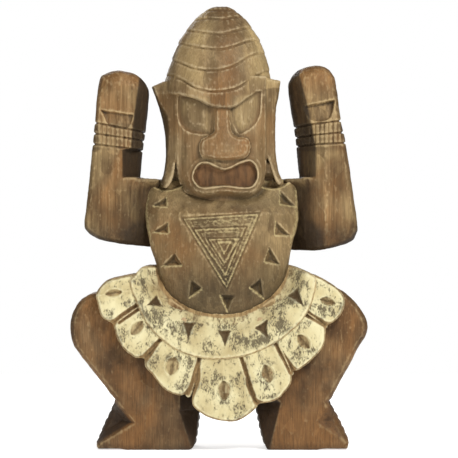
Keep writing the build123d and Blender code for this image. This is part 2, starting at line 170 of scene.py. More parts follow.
def outline(grid, points):
    """Distance in the front view to a closed line, negative inside it."""
    x, z = grid.x[:, 0, :], grid.z[0, :, :]
    inside = np.zeros(np.broadcast_shapes(x.shape, z.shape), bool)
    for (ax, az), (bx, bz) in zip(points, np.roll(points, -1, axis=0)):
        if az != bz:
            inside ^= ((az > z) != (bz > z)) & (x < (bx - ax) * (z - az) / (bz - az) + ax)
    away = stroke(grid, np.vstack([points, points[:1]]))
    return np.where(inside[:, None, :], -away, away)


def join(a, b, blend=0.0):
    """Both shapes, with a fillet between them."""
    if not blend:
        return np.minimum(a, b)
    mix = np.clip(0.5 + 0.5 * (b - a) / blend, 0, 1)
    return b + (a - b) * mix - blend * mix * (1 - mix)


def meet(a, b, blend=0.0):
    """Only what is in both shapes, with a rounded edge between them."""
    return -join(-a, -b, blend)


def drawn(grid, points):
    """Distance in the front view to a smooth closed line, negative inside it."""
    return outline(grid, curve(points))


def ease(low, high, value):
    """A smooth step from 0 at low to 1 at high."""
    t = np.clip((value - low) / (high - low), 0, 1)
    return t * t * (3 - 2 * t)


def hill(across, width, up=0.0, height=1.0):
    """A smooth hump that is one at its middle and fades over a width and a height."""
    return np.exp(-(across / width) ** 2 - (up / height) ** 2)


def dome(value, half):
    """The height of half an oval, one at the middle and nothing at the rim."""
    return np.sqrt(np.clip(1 - (value / half) ** 2, 0.02, 1))


def bevel(distance, width, drop):
    """How far a surface falls towards the edge of its outline."""
    return drop * np.clip(1 + distance / width, 0, 1.6)


def chip(grid, corners, depth=1.0):
    """A three-cornered pit, deepest at its middle."""
    return np.clip(-outline(grid, np.array(corners, float)) * 1.5, 0, depth)


def chip_rim(grid, corners):
    """The worn edge of a pit, along its foot and the side towards the body's middle."""
    corners = np.array(corners, float)
    moved = corners + np.array([0.3 * np.sign(corners[:, 0].mean()), 0.35])
    return ease(0.15, 0.0, outline(grid, corners)) * ease(-0.05, 0.2, outline(grid, moved))


def chip_shade(grid, corners):
    """Painted shade on the upper wall of a pit, which faces down, away from the light."""
    corners = np.array(corners, float)
    moved = corners - np.array([0.2 * np.sign(corners[:, 0].mean()), 0.9])
    return ease(0.1, -0.1, outline(grid, corners)) * ease(-0.2, 0.1, outline(grid, moved))


def groove(distance, width, depth):
    """A V cut along a line."""
    return depth * np.clip(1 - distance / (width / 2), 0, 1)


# ---------------------------------------------------------------- from a field to a mesh

CORNERS = np.array(list(np.ndindex(2, 2, 2)))
EDGES = [(a, b) for a in range(8) for b in range(a + 1, 8) if np.abs(CORNERS[a] - CORNERS[b]).sum() == 1]


def surface(values):
    """Corner points (in grid steps) and quads of the surface where the values cross zero."""
    inside = values < 0
    shape = np.array(values.shape) - 1
    count = np.zeros(shape, np.int8)
    for corner in CORNERS:
        a, b, c = corner
        count += inside[a:a + shape[0], b:b + shape[1], c:c + shape[2]]
    crossed = (count > 0) & (count < 8)
    index = np.full(shape, -1, np.int32)
    cells = np.argwhere(crossed)
    index[crossed] = np.arange(len(cells))
    at = [values[tuple((cells + corner).T)].astype(float) for corner in CORNERS]
    total = np.zeros((len(cells), 3))
    hits = np.zeros(len(cells))
    for a, b in EDGES:
        change = (at[a] < 0) != (at[b] < 0)
        share = at[a][change] / (at[a][change] - at[b][change])
        total[change] += CORNERS[a] + share[:, None] * (CORNERS[b] - CORNERS[a])
        hits[change] += 1
    points = cells + total / hits[:, None]
    quads = []
    for axis in range(3):
        u, v = np.roll(np.eye(3, dtype=int), -axis - 1, axis=0)[:2]
        ahead = np.eye(3, dtype=int)[axis]
        low = u + v
        here = inside[tuple(slice(a, b) for a, b in zip(low, shape))]
        there = inside[tuple(slice(a, b) for a, b in zip(low + ahead, shape + ahead))]
        spots = np.argwhere(here != there)
        leaving = here[tuple(spots.T)]
        spots = spots + low
        ring = np.stack([index[tuple((spots - u - v).T)], index[tuple((spots - v).T)],
                         index[tuple(spots.T)], index[tuple((spots - u).T)]], axis=1)
        ring[~leaving] = ring[~leaving][:, ::-1]
        quads.append(ring)
    return points, np.vstack(quads)


def neighbour_mean(values, quads):
    """The mean of each corner's neighbours along the quads' sides."""
    a = quads.ravel()
    b = np.roll(quads, -1, axis=1).ravel()
    count = np.bincount(a, minlength=len(values)) + np.bincount(b, minlength=len(values))
    # A coarse grid can leave a corner in no quad at all.
    count = np.maximum(count, 1)
    mean = np.empty_like(values)
    for axis in range(values.shape[1]):
        column = values[:, axis]
        total = np.bincount(a, column[b], len(values)) + np.bincount(b, column[a], len(values))
        mean[:, axis] = total / count
    return mean


def corner_normals(points, quads):
    """The direction each corner faces."""
    across = points[quads[:, 2]] - points[quads[:, 0]]
    down = points[quads[:, 3]] - points[quads[:, 1]]
    facing = np.cross(across, down)
    total = np.zeros_like(points)
    for axis in range(3):
        for side in range(4):
            total[:, axis] += np.bincount(quads[:, side], facing[:, axis], len(points))
    return total / np.maximum(np.linalg.norm(total, axis=1), 1e-12)[:, None]


# Rounds of smoothing for each unit of reach, on a grid of one unit.
SMOOTHING = 0.22


def hollowness(points, quads, normals, reach):
    """How far each corner lies under the smoothed surface. A larger reach smooths further."""
    soft = points
    for _ in range(max(1, round(SMOOTHING * reach / STEP**2))):
        soft = neighbour_mean(soft, quads)
    return ((soft - points) * normals).sum(1)


def sampled(grid, image, points):
    """A front-view image read at each corner of the mesh."""
    image = np.broadcast_to(image, (grid.x.shape[0], 1, grid.z.shape[2]))[:, 0, :]
    u = np.clip((points[:, 0] - grid.low[0]) / STEP, 0, image.shape[0] - 1.001)
    v = np.clip((points[:, 2] - grid.low[2]) / STEP, 0, image.shape[1] - 1.001)
    i, j = u.astype(int), v.astype(int)
    s, t = u - i, v - j
    return ((1 - s) * (1 - t) * image[i, j] + s * (1 - t) * image[i + 1, j]
            + (1 - s) * t * image[i, j + 1] + s * t * image[i + 1, j + 1])


# A gouge cut's extent along x, y and z, as shares of its size. It is longest along the upright grain.
CUT_SHAPE = np.array([0.75, 0.75, 1.6])
# Height of the wood's fine roughness, and the size of its features.
ROUGHNESS, ROUGH_SIZE = 0.035, 0.55
# How far a hollow is looked for, on the scale of a chisel line and of a whole feature.
FINE_REACH, BROAD_REACH = 1.1, 7.0


def carve(name, grid, values, seed, cut_size=2.4, cut_depth=0.07, facets=None, joints=(), **shades):
    """Meshes a field, dresses it with tool marks, and returns the piece that stands for the node.
    Joints are planes (axis, place) where glued blocks run on into each other without a worn edge.
    Shades are fields seen from the front that the material reads: paint, warmth, and stain mixed with painted
    shade."""
    points, quads = surface(values)
    points = points * STEP + grid.low
    points = points * 0.5 + neighbour_mean(points, quads) * 0.5
    normals = corner_normals(points, quads)
    calm = np.ones(len(points))
    for axis, place in joints:
        calm = calm * ease(0.15, 0.9, np.abs(points[:, axis] - place))
    near, chosen = scoops(points / (cut_size * CUT_SHAPE), seed)
    marks = np.clip(near - 0.35 + 0.25 * (chosen - 0.5), -0.4, 0.5)
    points = points + normals * (2.0 * cut_depth * marks * calm)[:, None]
    points = points + normals * (ROUGHNESS * noise(points / ROUGH_SIZE, seed + 3))[:, None]
    normals = corner_normals(points, quads)
    piece = bpy.data.objects.new(name + "_carving", make_mesh(name, points, quads))
    bpy.context.scene.collection.objects.link(piece)
    give(piece, "hollow", hollowness(points, quads, normals, FINE_REACH) * calm)
    give(piece, "broad_hollow", hollowness(points, quads, normals, BROAD_REACH) * calm)
    give(piece, "facet", chosen if facets is None else facets(points))
    plain_back = name in ("head", "torso")
    facing = ease(-0.35, 0.05, -normals[:, 1] * (1 if plain_back else np.sign(-points[:, 1])))
    reach = ease(2, -2, points[:, 1]) if plain_back else 1.0
    for shade, field in shades.items():
        level = sampled(grid, np.clip(field, -1, 1), points) * reach
        give(piece, shade, level * facing if shade == "paint" else level)
    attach(piece, "root")
    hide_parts(name)
    return piece


def make_mesh(name, points, quads):
    """A smooth-shaded mesh in metres."""
    mesh = bpy.data.meshes.new(name + "_mesh")
    mesh.vertices.add(len(points))
    mesh.loops.add(quads.size)
    mesh.polygons.add(len(quads))
    mesh.vertices.foreach_set("co", (points * UNIT + np.array(AXIS)).astype(np.float32).ravel())
    mesh.loops.foreach_set("vertex_index", quads.astype(np.int32).ravel())
    mesh.polygons.foreach_set("loop_start", np.arange(0, quads.size, 4, dtype=np.int32))
    mesh.update(calc_edges=True)
    mesh.validate()
    mesh.polygons.foreach_set("use_smooth", np.ones(len(mesh.polygons), bool))
    return mesh


def give(piece, name, values):
    """Stores one number for each corner, for the material to read."""
    attribute = piece.data.attributes.new(name, "FLOAT", "POINT")
    attribute.data.foreach_set("value", np.asarray(values, np.float32))


# ---------------------------------------------------------------- torso

TORSO = [
    (-16.7, 60.9), (-16.7, 60.9), (-17.4, 53.7), (-16.3, 46.5), (-14.9, 42.2), (-14.2, 38.8), (-13.1, 35.9),
    (-10.4, 33.2), (-5.9, 30.9), (-0.5, 30.0), (4.5, 30.5), (9.0, 32.5), (12.6, 35.4),
    (14.4, 38.8), (15.3, 43.6), (16.0, 46.9), (17.2, 51.5), (17.0, 60.9), (17.0, 60.9)]
CHEST_TRIANGLES = [
    [(-9.0, 52.1), (8.6, 53.2), (1.1, 35.9)],
    [(-6.6, 49.7), (5.6, 50.2), (0.9, 38.6)],
    [(-3.3, 47.5), (4.3, 47.7), (0.6, 41.3)],
    [(-1.3, 47.0), (2.6, 47.2), (0.5, 43.4)]]
CHEST_CHIPS = [
    [(-15.9, 54.7), (-12.2, 54.3), (-12.4, 56.9)], [(-15.7, 48.8), (-11.8, 48.4), (-12.0, 51.3)],
    [(-13.6, 41.1), (-8.7, 41.3), (-10.6, 44.2)], [(-7.4, 33.9), (-4.2, 36.2), (-6.9, 38.3)],
    [(-0.6, 34.9), (2.8, 34.8), (1.2, 30.9)], [(6.0, 36.4), (9.4, 33.8), (8.7, 38.6)],
    [(9.4, 42.2), (13.2, 41.3), (10.6, 45.7)], [(11.7, 48.1), (15.6, 47.9), (12.0, 51.5)],
    [(12.9, 55.0), (16.9, 54.4), (13.0, 58.4)]]
# How far the belly stands out, and how far its crown reaches across and up from its middle.
BELLY_DEPTH, BELLY_HALF_WIDTH = 11.8, 21.0
BELLY_MIDDLE, BELLY_HALF_HEIGHT = 41.5, 28.0
CHEST_CHIP_DEPTH = 1.2
# Middle and radius of the hollow cut into each shoulder.
SHOULDER_SCOOPS = [(-12.3, 61.8, 4.6), (11.4, 62.0, 4.4)]


def lip_hollow(grid):
    """The hollow that follows the lower lip, from 0 to 1. Head and chest share it."""
    return hill(drawn(grid, MOUTH) - 1.9, 0.9) * ease(61.5, 59.0, grid.z)


def belly_depth(grid):
    """The shield is crowned from side to side and from top to bottom."""
    return BELLY_DEPTH * dome(grid.x, BELLY_HALF_WIDTH) * dome(grid.z - BELLY_MIDDLE, BELLY_HALF_HEIGHT)


def triangle_band(grid, second):
    """Where olive paint lies between the first two incised triangles."""
    x, z = grid.x, grid.z
    top = hill(z - 0.05 * x - 51.2, 0.75) * (0.3 + 0.7 * ease(-6, 0, x))
    middle = hill(z - 49.1, 0.6) * ease(-0.1, -0.4, second) * (0.2 + 0.8 * ease(-2, 0.5, x))
    right = ease(0.0, 0.3, second) * ease(0.5, 1.5, x) * (0.2 + 0.6 * ease(41, 47, z))
    return np.maximum(np.maximum(top, middle), right)


def carve_torso():
    """The shield-shaped body, with incised triangles, chip cuts and scooped shoulders."""
    grid = Grid("torso")
    x, y, z = grid.x, grid.y, grid.z
    edge = drawn(grid, TORSO)
    depth = belly_depth(grid)
    depth = depth - 0.30 * np.clip(z - 53.0, 0, 8) - 0.25 * ease(52.6, 54.6, z - 0.05 * x)
    depth = depth - bevel(edge, 0.7, 0.5) - bevel(edge, 3.2, 1.0) * ease(41, 36, z)
    worn_edges = 0.9 * hill(edge + 0.4, 0.28) * ease(44, 48, z)
    for middle_x, middle_z, radius in SHOULDER_SCOOPS:
        away = np.hypot(x - middle_x, (z - middle_z) * 1.3)
        depth = depth - 1.5 * ease(radius + 0.1, radius - 0.6, away)
        worn_edges = worn_edges + hill(away - radius - 0.1, 0.25) * ease(61.2, 60.4, z)
    cuts, lines = np.zeros_like(edge), np.zeros_like(edge)
    for corners in CHEST_TRIANGLES:
        away = outline(grid, np.array(corners))
        cuts = cuts + groove(np.abs(away), 0.5, 0.32) + groove(np.abs(away + 0.85), 0.34, 0.16)
        lines = lines + ease(0.22, 0.08, np.abs(away + 0.34)) + 0.7 * ease(0.18, 0.06, np.abs(away + 1.12))
    chips = sum(chip(grid, corners, CHEST_CHIP_DEPTH) for corners in CHEST_CHIPS)
    rims = sum(chip_rim(grid, corners) for corners in CHEST_CHIPS)
    shaded_walls = sum(chip_shade(grid, corners) for corners in CHEST_CHIPS)
    under_lip = lip_hollow(grid)
    front = -(depth - cuts - chips - 0.9 * under_lip) - y
    spine = 0.5 * hill(x, 0.9)
    back = y - 10.0 * dome(x, 22.0) * dome(z - 44.0, 34.0) + bevel(edge, 1.6, 1.0) + spine
    values = meet(edge, meet(front, back), 0.5)
    first, second = (outline(grid, np.array(corners)) for corners in CHEST_TRIANGLES[:2])
    band = 0.5 * triangle_band(grid, second)
    paint = ease(0.1, -0.2, first) * np.maximum(np.clip(lines, 0, 1), band) * ease(0.26, 0.1, cuts)
    paint = paint + 0.95 * rims + worn_edges
    # Painted shade over the lower belly, which turns under, and along its lower outline.
    stain = 0.7 * ease(47, 34, z) + 0.3 * ease(-1.6, 0, edge) * ease(46, 40, z)
    # Painted shadow under the chin, and painted shade on the flank away from the key light.
    stain = stain + 0.28 * ease(52.0, 56.0, z) * ease(60.8, 58.0, z) + 0.2 * ease(-13, -17, x)
    # The wood inside the outer triangle is darker; painted shade on the chips' upper walls and under the lip.
    stain = stain + 0.46 * ease(0.2, -0.3, first) + 0.5 * shaded_walls + 0.45 * under_lip
    warmth = 0.5 * hill(x + 9, 4, z - 44, 6) - 0.35 * ease(53.5, 57, z)
    return carve("torso", grid, values, 11, paint=paint, stain=stain, warmth=warmth)


# ---------------------------------------------------------------- head

FACE = [(-10.9, 84), (-10.9, 84), (-10.6, 72), (-10.2, 63.4), (-9.6, 60.4), (-8.8, 58.2), (-7.2, 57.0),
        (-4.2, 55.5), (0.9, 54.5), (5.9, 55.7), (8.7, 58.2), (9.9, 62.8), (10.2, 72), (10.2, 84), (10.2, 84)]
RIGHT_EAR = [
    (-9.5, 83.0), (-9.5, 83.0), (-13.2, 83.1), (-13.2, 83.1), (-16.0, 81.9), (-16.0, 81.9), (-14.9, 79.0),
    (-13.9, 75.8), (-13.0, 71.5), (-12.7, 66.5), (-13.2, 62.0), (-14.0, 59.9), (-13.2, 58.8), (-12.0, 59.2),
    (-11.0, 61.2), (-10.4, 64.6), (-9.5, 66.0), (-9.5, 66.0)]
LEFT_EAR = [
    (9.2, 83.6), (9.2, 83.6), (10.7, 83.6), (13.3, 83.2), (13.3, 83.2), (12.8, 79.6), (12.2, 76.1),
    (12.1, 68.1), (12.7, 63.0), (13.6, 60.6), (12.9, 59.6), (12.0, 60.6), (11.2, 62.8), (10.5, 65.0),
    (9.5, 66.5), (9.5, 66.5)]
# The fold down the right ear: heights, and how far out it lies.
EAR_FOLD = ([58, 62, 68, 72, 75, 78, 82], [-12.9, -12.6, -12.0, -11.8, -12.1, -13.9, -15.5])
EYES = [
    [(-9.9, 79.8), (-9.9, 79.8), (-10.0, 76.5), (-9.6, 73.6), (-8.2, 71.7), (-5.8, 70.9), (-2.2, 70.6),
     (-2.2, 70.6), (-1.7, 76.3), (-1.7, 80), (-1.7, 80)],
    [(1.8, 80), (1.8, 80), (1.8, 76.5), (2.6, 73.0), (4.0, 70.7), (4.0, 70.7), (6.2, 71.9), (7.9, 73.7),
     (8.7, 76.3), (8.9, 80.7), (8.9, 80.7)]]
NOSE = [(-1.5, 80), (-1.5, 80), (-1.6, 73), (-2.0, 70.9), (-4.4, 69.6), (-5.0, 68.0), (-4.6, 66.0),
        (-3.2, 65.4), (0.9, 64.8), (3.9, 65.3), (5.7, 66.0), (6.3, 68.0), (5.7, 69.8), (3.7, 70.1), (2.4, 71),
        (1.9, 73.0), (1.7, 80), (1.7, 80)]
# The ridge of the nose: heights, and how far forward it stands.
NOSE_RIDGE = ([64.6, 65.6, 67.0, 68.4, 70.0, 73.0, 80.0], [10.6, 12.2, 12.75, 12.8, 12.5, 11.6, 10.2])
MOUTH = [(-6.9, 61.6), (-5.6, 64.2), (-3.2, 64.8), (0.6, 63.4), (4.1, 64.8), (6.4, 65.3), (8.0, 63.9),
         (8.5, 61.4), (7.4, 59.1), (5.2, 58.4), (0.6, 58.8), (-4.2, 58.4), (-6.2, 59.6)]
# The cap's depth as a share of its width, and its half width at each of these heights.
CAP_DEPTH = 0.95
CAP_HEIGHTS = [70.0, 79.4, 83.0, 86.0, 88.0, 90.3, 92.6, 94.7, 97.0, 98.7, 99.8, 100.2, 100.4]
CAP_WIDTHS = [12.3, 12.3, 12.0, 11.3, 10.7, 9.9, 8.9, 7.6, 5.9, 4.1, 2.4, 1.3, 0.4]
# Heights of the foot of each tier, lowest first, at these places across the front.
TIER_COLUMNS = [-12, -9, -6, -3, 0, 3, 6, 9, 12]
TIERS = [
    [80.0, 79.5, 78.7, 77.2, 76.5, 76.9, 78.9, 80.8, 81.5],
    [84.4, 83.1, 81.2, 80.4, 80.4, 81.0, 82.7, 84.7, 85.9],
    [88.4, 86.8, 85.5, 85.1, 85.3, 86.3, 88.3, 89.4, 89.5],
    [92.2, 91.4, 90.5, 90.0, 89.9, 90.7, 91.9, 92.3, 92.3],
    [95.2, 94.7, 94.1, 93.6, 93.4, 94.2, 95.1, 95.3, 95.3],
    [97.4, 97.3, 97.0, 97.1, 96.9, 97.5, 97.8, 98.0, 98.0],
    [98.8, 98.9, 99.0, 99.1, 99.2, 99.0, 98.9, 98.9, 98.9]]
LAST_TIER_HEIGHT = 2.0
# The cap's axis: heights, and its place across.
CAP_LEAN = ([83, 90, 100], [-0.9, -0.55, -0.35])
CAP_TOP = 100.2
FACETS_AROUND = 16
# How far the face stands out, and the middle and half width of its crown.
FACE_DEPTH, FACE_MIDDLE, FACE_HALF_WIDTH = 10.4, 0.2, 13.9
EYE_DEPTH = 0.65
MOUTH_DEPTH = 1.0
HEAD_BACK = 9.4


def tier_feet(x):
    """The height of each tier's foot across the cap, from a smooth line through its points."""
    lines = [curve(list(zip(TIER_COLUMNS, heights)), closed=False) for heights in TIERS]
    return [np.interp(x, line[:, 0], line[:, 1]) for line in lines]


def tier_place(x, z):
    """How many tiers lie under a point of the cap, with its share of its own tier."""
    feet = tier_feet(x)
    feet.append(feet[-1] + LAST_TIER_HEIGHT)
    return sum(np.clip((z - low) / (high - low), 0, 1) for low, high in zip(feet[:-1], feet[1:]))


def cap_axis(z):
    """The cap leans a little."""
    return np.interp(z, *CAP_LEAN)


def facet_turn(x, y, z, tier):
    """Which of the flat cuts round the cap a point lies on, with its share of that cut."""
    around = np.arctan2(x - cap_axis(z), -y) / (2 * np.pi) * FACETS_AROUND
    return around + 0.5 + 0.37 * (tier % 3) + 0.15 * np.sin(around * 2.6 + tier)


def cap_facets(points):
    """A shade for each flat cut on the cap, and a softer one below it."""
    x, y, z = points.T
    place = tier_place(x, z)
    tier = np.floor(place)
    cell = np.stack([np.floor(facet_turn(x, y, z, tier)), tier, np.zeros_like(tier)], axis=1).astype(np.int64)
    shade = 0.5 * hashed(cell, 5) + 0.5 * ease(1.5, 5.5, np.abs(x - 0.9))
    return np.where(place > 0.01, shade, 0.45 + 0.15 * noise(points / 3.0, 6))


def face_depth(x):
    """The face is crowned from side to side."""
    return FACE_DEPTH * dome(x - FACE_MIDDLE, FACE_HALF_WIDTH)


def ears_on_face(grid, depth, right_ear, left_ear):
    """Adds ears that slant back from the face and come forward over the shoulders."""
    x, z = grid.x, grid.z
    lobes = 2.4 * ease(65.5, 60.5, z)
    beyond_fold = np.clip(np.interp(z, *EAR_FOLD) - x, 0, 2)
    right_plate = 4.4 + 0.75 * np.clip(13.2 + x, -1, 3.6) + lobes - beyond_fold
    right_plate = right_plate - 1.3 * ease(80.0, 83.2, z) - bevel(right_ear, 0.5, 0.4)
    left_plate = 4.2 + 0.75 * np.clip(12.6 - x, -1, 3.0) + lobes - bevel(left_ear, 0.5, 0.4)
    depth = np.where(right_ear < 0.4, np.maximum(depth - 9 * ease(-10.6, -10.9, x), right_plate), depth)
    return np.where(left_ear < 0.4, np.maximum(depth - 9 * ease(9.9, 10.2, x), left_plate), depth)


def features_on_face(grid, depth, nose, mouth):
    """Cuts the eyes and adds the nose and lips."""
    x, z = grid.x, grid.z
    for eye in EYES:
        away = drawn(grid, eye)
        depth = depth - ease(0.05, -0.4, away) * EYE_DEPTH + 0.32 * np.clip(-away - 0.3, 0, 2.0)
    depth = depth + 0.25 * hill(mouth - 0.5, 0.5)
    ridge = np.interp(z, *NOSE_RIDGE)
    ridge = ridge - 0.9 * (np.abs(x - 0.6) / 5.0) ** 2 * ease(72, 69, z) - bevel(nose, 0.6, 0.6)
    depth = np.where(nose < 0.12, np.maximum(depth, ridge), depth)
    lip = face_depth(x) + 0.65 - 0.45 * np.clip(np.abs(mouth + 0.3) / 0.34, 0, 2) ** 2
    floor = face_depth(x) - MOUTH_DEPTH
    depth = np.where(mouth < 0.3, np.maximum(depth, lip), depth)
    hollowed = depth + (np.minimum(floor, depth) - depth) * ease(-0.5, -0.9, mouth)
    return np.where(mouth < 0.0, hollowed, depth)


def cap_values(grid):
    """The tall cap of tiers, dressed with flat cuts."""
    x, y, z = grid.x, grid.y, grid.z
    half = np.interp(z, CAP_HEIGHTS, CAP_WIDTHS)
    place = tier_place(x, z)
    tier = np.floor(place)
    turn = facet_turn(x, y, z, tier)
    flat = 0.5 - np.abs(turn - np.floor(turn) - 0.5)
    gap = np.minimum.reduce([np.abs(z - foot) for foot in tier_feet(x)])
    front = ease(0.98, 0.7, np.abs(x - cap_axis(z)) / half)
    dressing = 0.16 * (1 - (place - tier)) + 0.20 * flat
    dressing = dressing - (0.12 + 0.34 * front) * np.clip(1 - gap / 0.4, 0, 1)
    cap = (np.hypot((x - cap_axis(z)) / half, y / (half * CAP_DEPTH)) - 1) * half * 0.96 - dressing
    cap = meet(cap, tier_feet(x)[0] - z, 0.35)
    return meet(cap, z - CAP_TOP, 0.3)


def carve_head():
    """Face, ears and tiered cap, with a chin that laps over the chest."""
    grid = Grid("head")
    x, y, z = grid.x, grid.y, grid.z
    face, right_ear, left_ear = (drawn(grid, line) for line in (FACE, RIGHT_EAR, LEFT_EAR))
    nose, mouth = (drawn(grid, line) for line in (NOSE, MOUTH))
    depth = face_depth(x) - 0.7 * hill(np.abs(x - FACE_MIDDLE) - 9.3, 0.7) * ease(74, 66, z)
    under_lip = lip_hollow(grid)
    depth = depth - bevel(face, 0.9, 0.8) * ease(66, 60, z) - 1.2 * under_lip - 1.5 * ease(58.5, 55.3, z)
    depth = features_on_face(grid, depth, nose, mouth)
    depth = ears_on_face(grid, depth, right_ear, left_ear)
    ears = np.minimum(right_ear, left_ear)
    rear = np.maximum(HEAD_BACK * dome(x, 12.6) - bevel(face, 1.2, 0.8), np.where(ears < 0.6, 3.4, 0))
    edge = join(face, ears, 0.2)
    values = meet(edge, np.maximum(-depth - y, y - rear), 0.4)
    neck_front = 3.0 + 2.4 * ease(60.9, 62.4, z) * ease(65.8, 63.8, z)
    neck = np.maximum(np.maximum(np.abs(x - 0.1) - 11.6, z - 67), np.maximum(-neck_front - y, y - 3.4))
    values = np.minimum(values, neck)
    values = np.maximum(values, np.minimum(59.6 - z, y + 6.0))
    values = join(values, cap_values(grid), 0.12)
    shades = head_shades(grid, edge, nose, mouth, under_lip)
    return carve("head", grid, values, 23, cut_depth=0.05, facets=cap_facets, **shades)


def head_shades(grid, edge, nose, mouth, under_lip):
    """Painted shade and darker wood, warm and cool places, and the mouth's own colour."""
    x, z = grid.x, grid.z
    # Painted shade under the lip and on the ear's strip that turns back beyond its fold.
    stain = 0.5 * under_lip + 0.6 * ease(0.1, -0.5, x - np.interp(z, *EAR_FOLD)) * ease(80, 76, z)
    # Painted shadow under the brow's lower edge.
    stain = stain + 0.45 * hill(z - tier_feet(x)[0] - 0.1, 0.55) * ease(8.0, 5.0, np.abs(x - 0.3))
    # Painted shade in the notch beside the ear lobes and on the right ear's side.
    stain = stain + 0.5 * ease(0.0, 0.3, edge) * ease(67, 65, z) + 0.25 * ease(-10.4, -11.0, x)
    # Painted shadow beside and under the nose.
    stain = stain + 0.35 * ease(0.9, 0.1, nose) * ease(0.0, 0.2, nose) * ease(69, 66, z)
    # The nose and the cap's middle are darker wood.
    stain = stain + 0.12 * ease(0.2, -0.4, nose) + 0.25 * ease(82, 85, z) * ease(5.5, 3.5, np.abs(x - 0.9))
    # Painted shade in the crease round the lips.
    stain = stain + 0.18 * hill(mouth + 0.2, 0.4)
    eyes = np.minimum.reduce([drawn(grid, eye) for eye in EYES])
    brow = 0.7 * hill(x - 0.5, 6, z - 79.5, 3.4)
    crown = ease(81, 84, z) * (0.45 * hill(x - 1.5, 3.2) - 0.5 * hill(x + 5.5, 3))
    warmth = 0.6 * ease(0.2, -0.6, nose) + brow + crown
    warmth = warmth - 0.55 * ease(-0.3, -1.4, eyes) * ease(0.0, 0.4, nose)
    warmth = warmth - 0.5 * ease(4.5, 8, x) * ease(81, 85, z)
    return {"paint": ease(-0.55, -0.85, mouth), "stain": stain, "warmth": warmth}


# ---------------------------------------------------------------- arms

RIGHT_ARM = [
    (-14.0, 60.9), (-14.0, 60.9), (-18.7, 61.3), (-18.7, 61.3), (-18.2, 67), (-17.6, 71.3), (-17.0, 77),
    (-16.7, 80.4), (-17.2, 82.2), (-18.6, 83.9), (-20.6, 84.9), (-23.4, 85.4), (-26.2, 84.7), (-27.7, 83.0),
    (-28.6, 74), (-29.1, 68.2), (-30.5, 55.0), (-31.0, 50.9), (-30.4, 49.1), (-27.7, 47.3), (-22.4, 46.2),
    (-14.0, 45.4), (-14.0, 45.4)]
LEFT_ARM = [
    (14.0, 61.0), (14.0, 61.0), (17.7, 61.2), (17.7, 61.2), (17.1, 67.1), (16.5, 72.4), (15.7, 77.1),
    (15.1, 81.6), (15.5, 83.5), (16.9, 85.2), (19.1, 86.2), (21.4, 86.5), (23.6, 85.9), (25.0, 84.5),
    (25.7, 82.6), (26.7, 74.5), (27.9, 68.9), (29.4, 59.0), (30.6, 50.6), (30.3, 48.4), (28.6, 46.5),
    (21.8, 44.8), (14.0, 45.0), (14.0, 45.0)]
# Heights of the inner facet's edge and how far out it stands, for each arm.
RIGHT_FACET = ([50, 67.4, 67.8, 75, 84], [22.5, 22.5, 20.5, 19.9, 18.6])
LEFT_FACET = ([50, 67.7, 73.6, 78.3, 84], [21.1, 21.3, 20.1, 19.2, 17.6])
# Wrist grooves: height on the body side and on the outer side.
RIGHT_WRIST = [(71.3, 73.4), (69.4, 71.0), (67.2, 68.6)]
LEFT_WRIST = [(72.7, 74.1), (70.4, 71.4), (68.4, 69.0)]
RIGHT_PALM = [(-27.3, 76.4), (-27.3, 76.4), (-19.8, 75.3), (-19.8, 75.3), (-20.9, 72.3), (-23.2, 72.1),
              (-25.5, 72.9), (-26.6, 75.2)]
LEFT_PALM = [(18.2, 77.3), (18.2, 77.3), (25.4, 78.6), (25.4, 78.6), (24.6, 74.9), (23.0, 73.8), (20.1, 74.0),
             (18.8, 75.4)]
# Half the arm's thickness from front to back, and how far out the middle of the wrist lies.
ARM_DEPTH = 8.2
ARM_MIDDLE = 23.0
BEAD_PITCH = 1.0
RING_WIDTH, RING_DEPTH = 0.62, 0.55
BEAD_CUT_WIDTH, BEAD_CUT_DEPTH = 0.45, 0.26
# Heights on the arm.
UPPER_ARM_TOP = 61.3
WRIST_FOOT, WRIST_MIDDLE = 68.0, 70.8
# How far out the crest of the forearm runs.
FOREARM_CREST = 23.3


def wrist_heights(wrist, out):
    """The height of each wrist groove, which tilts across the arm."""
    share = np.clip((out - 17) / 11, -0.2, 1.2)
    return [near + (far - near) * share for near, far in wrist]


def bracelet_cut(grid, out, wrist):
    """Three grooves round the wrist and the beads between them."""
    heights = wrist_heights(wrist, out)
    rings = sum(groove(np.abs(grid.z - height), RING_WIDTH, RING_DEPTH) for height in heights)
    across = np.abs(grid.y) / ARM_DEPTH > np.abs(out - ARM_MIDDLE) / 5.3
    along = np.where(across, out, grid.y) / BEAD_PITCH
    beads = groove(np.abs(along - np.round(along)) * BEAD_PITCH, BEAD_CUT_WIDTH, BEAD_CUT_DEPTH)
    top, _, foot = heights
    return rings + beads * ease(foot, foot + 0.1, grid.z) * ease(top, top - 0.1, grid.z)


